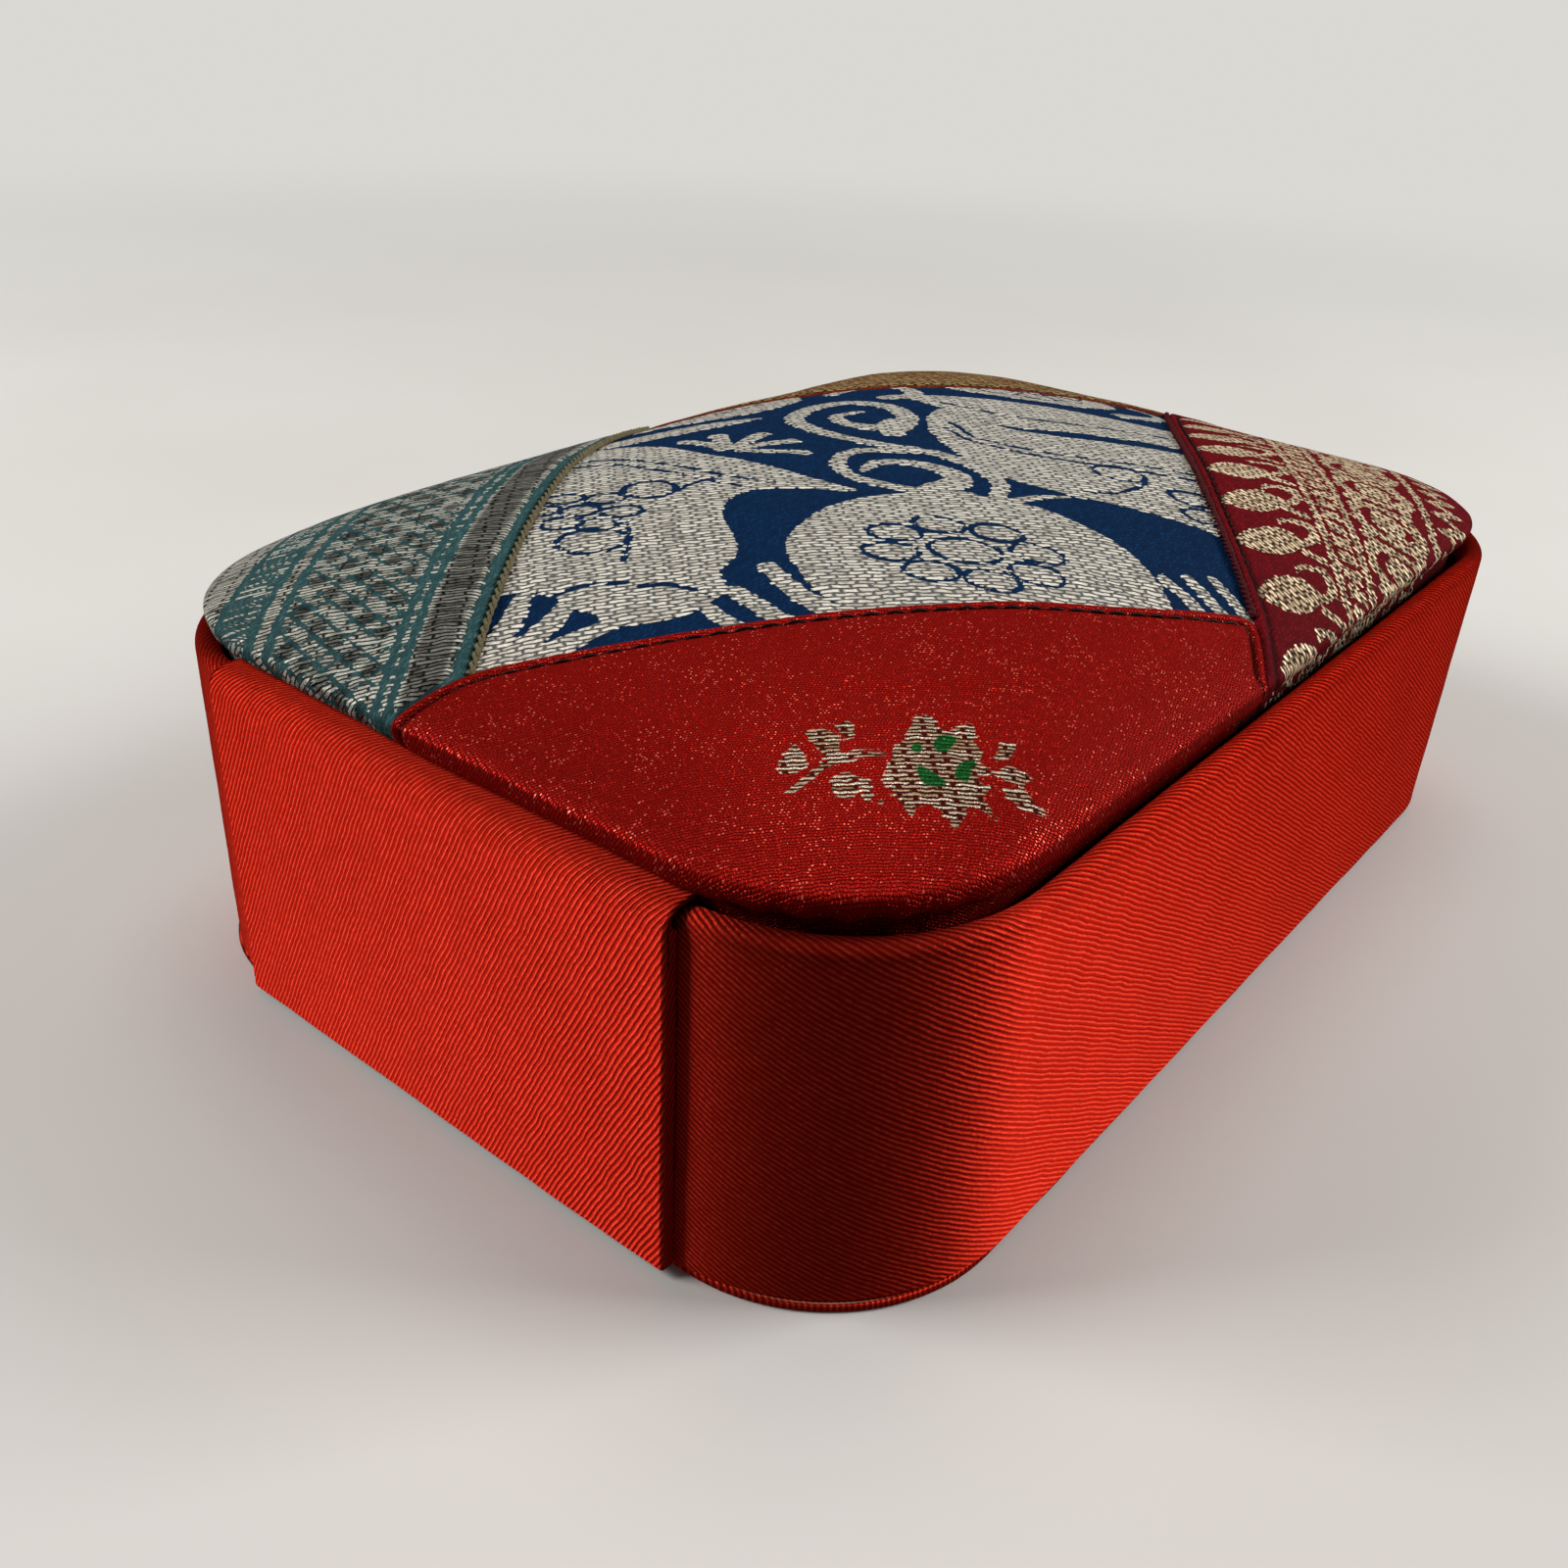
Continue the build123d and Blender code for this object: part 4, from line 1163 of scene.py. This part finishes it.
def strip(name, depth, start_z, side_depth):
    """A strip that goes up the spine, rolls in at its top and lies over the rim up to the lid, set
    in by a depth. Its sides turn back towards the wall by side_depth, less where it rolls."""
    face_y, top_z = hinge_high[1] - depth, hinge_high[2] - depth
    roll = hinge_roll - depth
    turn = np.radians(np.linspace(0, 90, 14))[1:]
    face = np.linspace((face_y, start_z), (face_y, top_z - roll), 40)
    bend = (face_y - roll, top_z - roll) + roll * np.stack([np.cos(turn), np.sin(turn)], axis=-1)
    over = np.linspace((face_y - roll, top_z), (hinge_low[1] + 0.05, top_z), 8)[1:]
    line = np.concatenate([face, bend, over])
    slope = unit(np.gradient(line, axis=0))
    inward = np.stack([-slope[:, 1], slope[:, 0]], axis=-1)
    inward *= np.where(inward.sum(axis=1) < 0, 1, -1)[:, None]
    z = line[:, 1:]
    turned = np.clip((z - spine_high[2] + 0.2) / 2.4, 0, 1)
    side_share = 1 - 0.8 * turned * turned * (3 - 2 * turned)
    edge = np.linspace(0, 1, side_columns)
    face_columns = strip_columns - 2 * side_columns
    back = np.concatenate([edge[::-1], np.zeros(face_columns), edge])
    side = side_depth * back * side_share
    rounded = edge_round * (1 - np.sqrt(1 - np.minimum(side / edge_round, 1) ** 2))
    x = np.concatenate([np.full(side_columns, -spine_half),
                        np.linspace(-spine_half, spine_half, face_columns),
                        np.full(side_columns, spine_half)])
    at_edge = (back == 0) & (np.abs(x) > spine_half - 0.4)
    x = x - np.sign(x) * (edge_round - rounded) * at_edge
    up = lengths_along(line)[:, None]
    bow = spine_bow * np.cos(np.clip(x / spine_half, -1, 1) * np.pi / 2)
    bow = bow + spine_waves * ripples(x, up, 30, 5, 8)
    points = np.stack([x, line[:, :1] + inward[:, :1] * (side - bow * (side_share > 0.99)),
                       z + inward[:, 1:] * side], axis=-1)
    uv = np.stack(np.broadcast_arrays(-x - np.sign(x) * side, up), axis=-1)
    mesh = grid_mesh(name, points, uv, flip=True)
    # Painted shade: the satin grows darker as it rises into the roll under the lid.
    near_roll = np.clip((points[..., 2] - hinge_high[2] + roll_shade) / roll_shade, 0, 1)
    with_field(mesh, "shade", roll_painted_shade * near_roll ** 1.3)
    return mesh


spine_cloth = piece("spine_cloth", strip("spine_cloth", 0.0, spine_low[2] + 0.05, 1.9),
                    spine_satin, None)
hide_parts("spine_cover", "hinge_cloth")
hinge_strip = piece("hinge_lining_strip",
                    strip("hinge_lining_strip", 0.42, spine_high[2] - 4.0, 0.2),
                    lining_satin, None)
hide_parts("hinge_lining")
for made in (spine_cloth, hinge_strip):
    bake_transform(made)

# %% [markdown]
# ## Base, lining and floor pad
# The base is a card wrapped in the same satin, and peeks out under the rounded corners. Inside, the
# lining cloth goes up the inner wall and over its edge, the ledge that the lid sits on. On the
# floor lies a thin pad.

# %% Base cloth
base_low, base_high = span("base_cover")
base_radius = 27.0
base_round = 0.45
base_top = base_high[2]
base_mesh = ring_mesh("base_cloth", [
    (20, 0), (8, 0), (3, 0), *arc((base_round, base_round), base_round, 270, 180, 4),
    *arc((base_round, base_top - base_round), base_round, 180, 90, 4),
    (3, base_top + 0.03), (6, base_top + 0.03)],
    base_radius, half_of(base_low, base_high), waves=0.12, seed=5, closed=True)
base_cloth = piece("base_cloth", base_mesh, wall_satin, "case")
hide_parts("base_cover")

# %% Lining cloth
lining_low, lining_high = span("lining_cloth")
ledge_z = lining_high[2]
ledge_inset = 6.4
ledge_round = 0.7
lining_lap = 14.0
lining_mesh = ring_mesh("lining_sheet", [
    (wall_thickness, ledge_z - lining_lap), (wall_thickness + 0.1, ledge_z - 0.1),
    (wall_thickness + 0.8, ledge_z),
    *arc((ledge_inset - ledge_round, ledge_z - ledge_round), ledge_round, 90, 0, 7),
    *np.linspace((ledge_inset, ledge_z - 1.5), (ledge_inset, lining_low[2] + 0.1), 20)],
    wall_radius, wall_half, waves=0.07, seed=9)
lining_sheet = piece("lining_sheet", lining_mesh, lining_satin, "case")
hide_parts("lining_cloth")


def inner_radius(half):
    """The corner radius of a piece that lies evenly inside the wall."""
    return wall_radius - (wall_half[0] - half[0])


# %% Floor pad
floor_low, floor_high = span("floor_cloth")
floor_half = half_of(floor_low, floor_high)
floor_round = 0.8
floor_top = floor_high[2] + 0.2
shoulder_z = floor_top - 2.2


def floor_crown(x, y, z):
    """The pad's crown: highest in the middle and level with its shoulder all round."""
    share = ((np.abs(x) / floor_half[0]) ** 5 + (np.abs(y) / floor_half[1]) ** 5) ** 0.2
    rise = (1 - np.minimum(share, 1) ** crown_power) ** edge_power
    return (floor_top - shoulder_z) * rise * (z > shoulder_z - 0.01)


floor_mesh = ring_mesh("floor_pad", [
    (8, floor_low[2]), (3, floor_low[2]),
    *arc((floor_round, floor_low[2] + floor_round), floor_round, 270, 180, 5), (0.25, 6), (0.15, 7),
    *((floor_half[0] * (1 - share), shoulder_z) for share in np.linspace(1, 0.04, 30))],
    inner_radius(floor_half), floor_half, closed=True, walks=240, crown=floor_crown)
floor_pad = piece("floor_pad", floor_mesh, lining_satin, "case")
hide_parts("floor_cloth", "floor_padding")

# %% Lid lining
panel_low, panel_high = span("lid_lining_cloth")
panel_half = half_of(panel_low, panel_high)
panel_round = 0.6
panel_mesh = ring_mesh("lid_lining_panel", [
    (6, panel_high[2]), (0.2, panel_high[2]),
    *arc((panel_round, panel_low[2] + panel_round), panel_round, 180, 270, 6),
    *((inset, panel_low[2]) for inset in (1.2, 4, 16))],
    inner_radius(panel_half), panel_half, closed=True, flip=True, walks=240)
panel = piece("lid_lining_panel", panel_mesh, lining_satin, "lid")
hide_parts("lid_lining_cloth")

# %% [markdown]
# ## Stitches and edgings
# The red patch is sewn down by hand with dark thread, in a groove that the stitches pull into it.
# Every thread here is a tube of six sides round a path over the crown.

# %% Stitches
def moved_out(line, step, away):
    """A line in plan walked in even steps, and moved away from the lid's middle."""
    line = walked(line, int(lengths_along(line)[-1] / step))
    ahead = unit(np.gradient(line, axis=0))
    out = np.stack([-ahead[:, 1], ahead[:, 0]], axis=-1)
    if (out * (line - lid_middle)).sum() < 0:
        out = -out
    return line + out * away


def sides_of(path):
    """Two directions across a path: one level, the other square to it and to the path."""
    ahead = unit(np.gradient(path, axis=-2))
    side = unit(np.cross(ahead, (0, 0, 1.0)))
    return side, np.cross(side, ahead)


def tubes(name, paths, side, over, radius, finish):
    """A piece of the lid: tubes round paths x points x 3 places, capped at both ends."""
    turn = np.linspace(0, 2 * np.pi, 6, endpoint=False)[:, None]
    ring = side[..., None, :] * np.cos(turn) + over[..., None, :] * np.sin(turn)
    points = paths[..., None, :] + ring * radius[..., None, None]
    index = np.arange(points[..., 0].size).reshape(points.shape[:3])
    faces = [*squares(index, ring=True).tolist(), *index[:, 0, ::-1].tolist(),
             *index[:, -1].tolist()]
    return piece(name, new_mesh(name, points, faces), finish, "lid")


stitch_arch = 0.28
sunk_end = 0.12
bare_end = 6.0
edge_step, thread_step = 0.25, 0.1


def stitches(name, edge, length, gap, thick, lift):
    """Short rounded threads along a line set in from a folded edge. Each is a bent capsule: a small
    arch over the cloth with its ends sunk in."""
    line = moved_out(edge, edge_step, stitch_inset)
    line = walked(line, int(lengths_along(edge)[-1] / thread_step))
    way = lengths_along(line)
    count = int((way[-1] - 2 * bare_end) // (length + gap))
    starts = bare_end + np.arange(count) * (length + gap)
    share = np.linspace(0, 1, 7)
    at = starts[:, None] + share * length
    plan = np.stack([np.interp(at, way, line[:, k]) for k in range(2)], axis=-1)
    inside = share_at(plan)
    keep = np.max(inside, axis=1) < 1.0
    plan, inside = plan[keep], inside[keep]
    walk = walk_at(plan, inside)
    points, _ = lid_surface(walk, inside)
    points[..., 2] += puff_at(walk, inside) + lift + stitch_arch * np.sin(share * np.pi) - sunk_end
    radius = thick / 2 * np.array([0.35, 0.9, 1, 1, 1, 0.9, 0.35])
    return tubes(name, points, *sides_of(points), radius, dark_thread)


stitches("red_stitches", folded_edges["red"], 2.6, 0.5, 0.42, 0.12)
stitches("maroon_stitches", folded_edges["maroon"], 1.8, 1.0, 0.4, -0.1)

# %% [markdown]
# ### Edgings
# A metal cord of two strands lies between the teal and the navy, and a dark maroon one between the
# maroon and the navy. Each strand is a tube that winds round the cord's own line.

# %% Twisted edgings
cord_inset = 0.4
cord_thick = 1.0
cord_step = 0.22
strand_share = 0.27


def twisted_cord(name, line, turn_length, finish, lift):
    """Two strands wound round a line over the crown, set in from its seam and lifted."""
    line = moved_out(line, cord_step, -cord_inset)
    share = np.minimum(share_at(line), 1.0)
    walk = walk_at(line, share)
    middle, _ = lid_surface(walk, share)
    middle[:, 2] += puff_at(walk, share) + lift
    side, over = sides_of(middle)
    way = lengths_along(middle)
    uneven = 1 + 0.12 * np.sin(way * 1.3) + 0.1 * np.sin(way * 0.37 + 1)
    strand = strand_share * cord_thick
    paths = []
    for start in (0, np.pi):
        wind = (way / turn_length * 2 * np.pi + start)[:, None]
        paths.append(middle + strand * (side * np.cos(wind) + over * np.sin(wind)))
    return tubes(name, np.stack(paths), side, over, strand * uneven, finish)


twisted_cord("teal_piping", seam(3), 3.4, silver_thread, -0.15)
twisted_cord("maroon_piping", seam(1), 2.2, maroon_thread, -0.1)

# %% [markdown]
# ## Camera, stage and light
# The camera stands where the photographer stood, low at the hinge corner, found by matching the
# case's corners. The case stands on a pale sweep, between two broad soft lights behind its two
# sides, so the near rounded corner falls away into deep red. Away from the case the paper fades,
# for the camera alone, into a plain pale grey, as an overexposed backdrop does.

# %% Camera
camera_place = (-0.12538, 0.19177, 0.13654)
yaw, pitch, roll = -0.9110, 0.5103, -0.0527
camera_data = bpy.data.cameras.new("camera")
camera_data.sensor_width = 36.0
camera_data.lens = 33.97
camera = bpy.data.objects.new("camera", camera_data)
bpy.context.scene.collection.objects.link(camera)
ahead = np.array([np.cos(yaw) * np.cos(pitch), np.sin(yaw) * np.cos(pitch), -np.sin(pitch)])
level_right = unit(np.cross(ahead, (0, 0, 1)))
level_down = np.cross(ahead, level_right)
right = np.cos(roll) * level_right + np.sin(roll) * level_down
down = np.cos(roll) * level_down - np.sin(roll) * level_right
turned = Matrix(np.column_stack([right, -down, -ahead]).tolist()).to_4x4()
camera.matrix_world = Matrix.Translation(Vector(camera_place)) @ turned
bpy.context.scene.camera = camera

# %% Stage
sweep_half = 3.0
bend_radius = 0.8
bend_start = 1.2
fade_from, fade_to = 0.2, 1.0
bend = np.radians(np.linspace(0, 90, 13))
floor_way = np.concatenate([[-sweep_half], bend_start + bend_radius * np.sin(bend),
                            [bend_start + bend_radius]])
floor_up = np.concatenate([[0.0], bend_radius - bend_radius * np.cos(bend), [sweep_half]])
sweep = np.stack(np.broadcast_arrays(np.linspace(-sweep_half, sweep_half, 13)[None, :],
                                     floor_way[:, None], floor_up[:, None]), axis=-1)
sweep[..., :2] = sweep[..., :2] @ np.array([-to_right, to_far])
sweep_mesh = grid_mesh("floor", sweep / MM, np.zeros(sweep.shape[:2] + (2,)))
paper, lit_paper = mottled("pale_paper_sweep", "CFCDC9", "C3C0BB", 6.0, detail=4.0, depth=0.02,
                           specular=0.2)
seen = paper.add("LightPath", {}, "Is Camera Ray")
away = paper.add("VectorMath", {0: paper.add("TexCoord", {}, "Object")}, 1, operation="LENGTH")
far = paper.remap(away, fade_from, fade_to, 0.0, seen, interpolation_type="SMOOTHSTEP")
pale = paper.add("Emission", {"Color": tint("DAD9D4"), "Strength": 1.0})
sweep_mesh.materials.append(paper.shown(paper.add("MixShader", {0: far, 1: lit_paper, 2: pale})))
floor = bpy.data.objects.new("floor", sweep_mesh)
bpy.context.scene.collection.objects.link(floor)
floor.visible_diffuse = floor.visible_glossy = False

# %% Lights
def soft_light(name, azimuth, elevation, distance, size, power, colour="FFFFFF"):
    """A square soft box that faces the case, at an angle round it and above the floor."""
    data = bpy.data.lights.new(name, "AREA")
    data.shape, data.size, data.energy = "SQUARE", size, power
    data.color = tint(colour)[:3]
    light = bpy.data.objects.new(name, data)
    a, e = np.radians(azimuth), np.radians(elevation)
    light.location = Vector((np.cos(a) * np.cos(e), np.sin(a) * np.cos(e), np.sin(e))) * distance
    light.rotation_mode = "QUATERNION"
    light.rotation_quaternion = (-light.location).to_track_quat("-Z", "Y")
    bpy.context.scene.collection.objects.link(light)


soft_light("left_box", 42, 34, 1.3, 0.55, 13.5)
soft_light("right_box", 223, 34, 1.3, 0.55, 14.0)
soft_light("top_box", 300, 76, 1.5, 0.8, 7.0, "FFFAF5")
world = bpy.data.worlds.new("room")
bpy.context.scene.world = world
world.use_nodes = True
background = world.node_tree.nodes["Background"]
background.inputs["Color"].default_value = tint("F2F3F2")
background.inputs["Strength"].default_value = 0.1
bpy.context.scene.view_settings.view_transform = "Standard"

# %% Sheets, sizes and the end
def flat_cut(made):
    """The flat cloth that a sheet is cut from, read off its own cloth coordinates: the width and
    the length of the piece that it is cut out of, and the area of the sheet's outline in it."""
    mesh = made.data
    cloth = np.zeros(len(mesh.loops) * 2)
    mesh.uv_layers[0].data.foreach_get("uv", cloth)
    cloth = cloth.reshape(-1, 2) * MM
    first, count = (np.zeros(len(mesh.polygons), int) for _ in range(2))
    mesh.polygons.foreach_get("loop_start", first)
    mesh.polygons.foreach_get("loop_total", count)
    after = np.arange(len(cloth)) + 1
    after[first + count - 1] = first
    cross = cloth[:, 0] * cloth[after, 1] - cloth[after, 0] * cloth[:, 1]
    area = np.abs(np.add.reduceat(cross, first)).sum() / 2
    wide, long = cloth.max(axis=0) - cloth.min(axis=0)
    return float(wide), float(long), float(area)


flat_sheets = [(made, "lid_padding", 1) for made in (*patch_pieces.values(), navy)]
flat_sheets += [(wall_cloth, "wall_board", 1), (spine_cloth, "spine_board", 1),
                (hinge_strip, "hinge_cloth", 1), (base_cloth, "base_card", 2),
                (lining_sheet, "lining_board", 1), (panel, "lid_lining_card", 2)]
for made, under, layers in flat_sheets:
    wide, long, area = flat_cut(made)
    print("cut", made.name, round(wide, 4), round(long, 4), round(area / layers, 5))
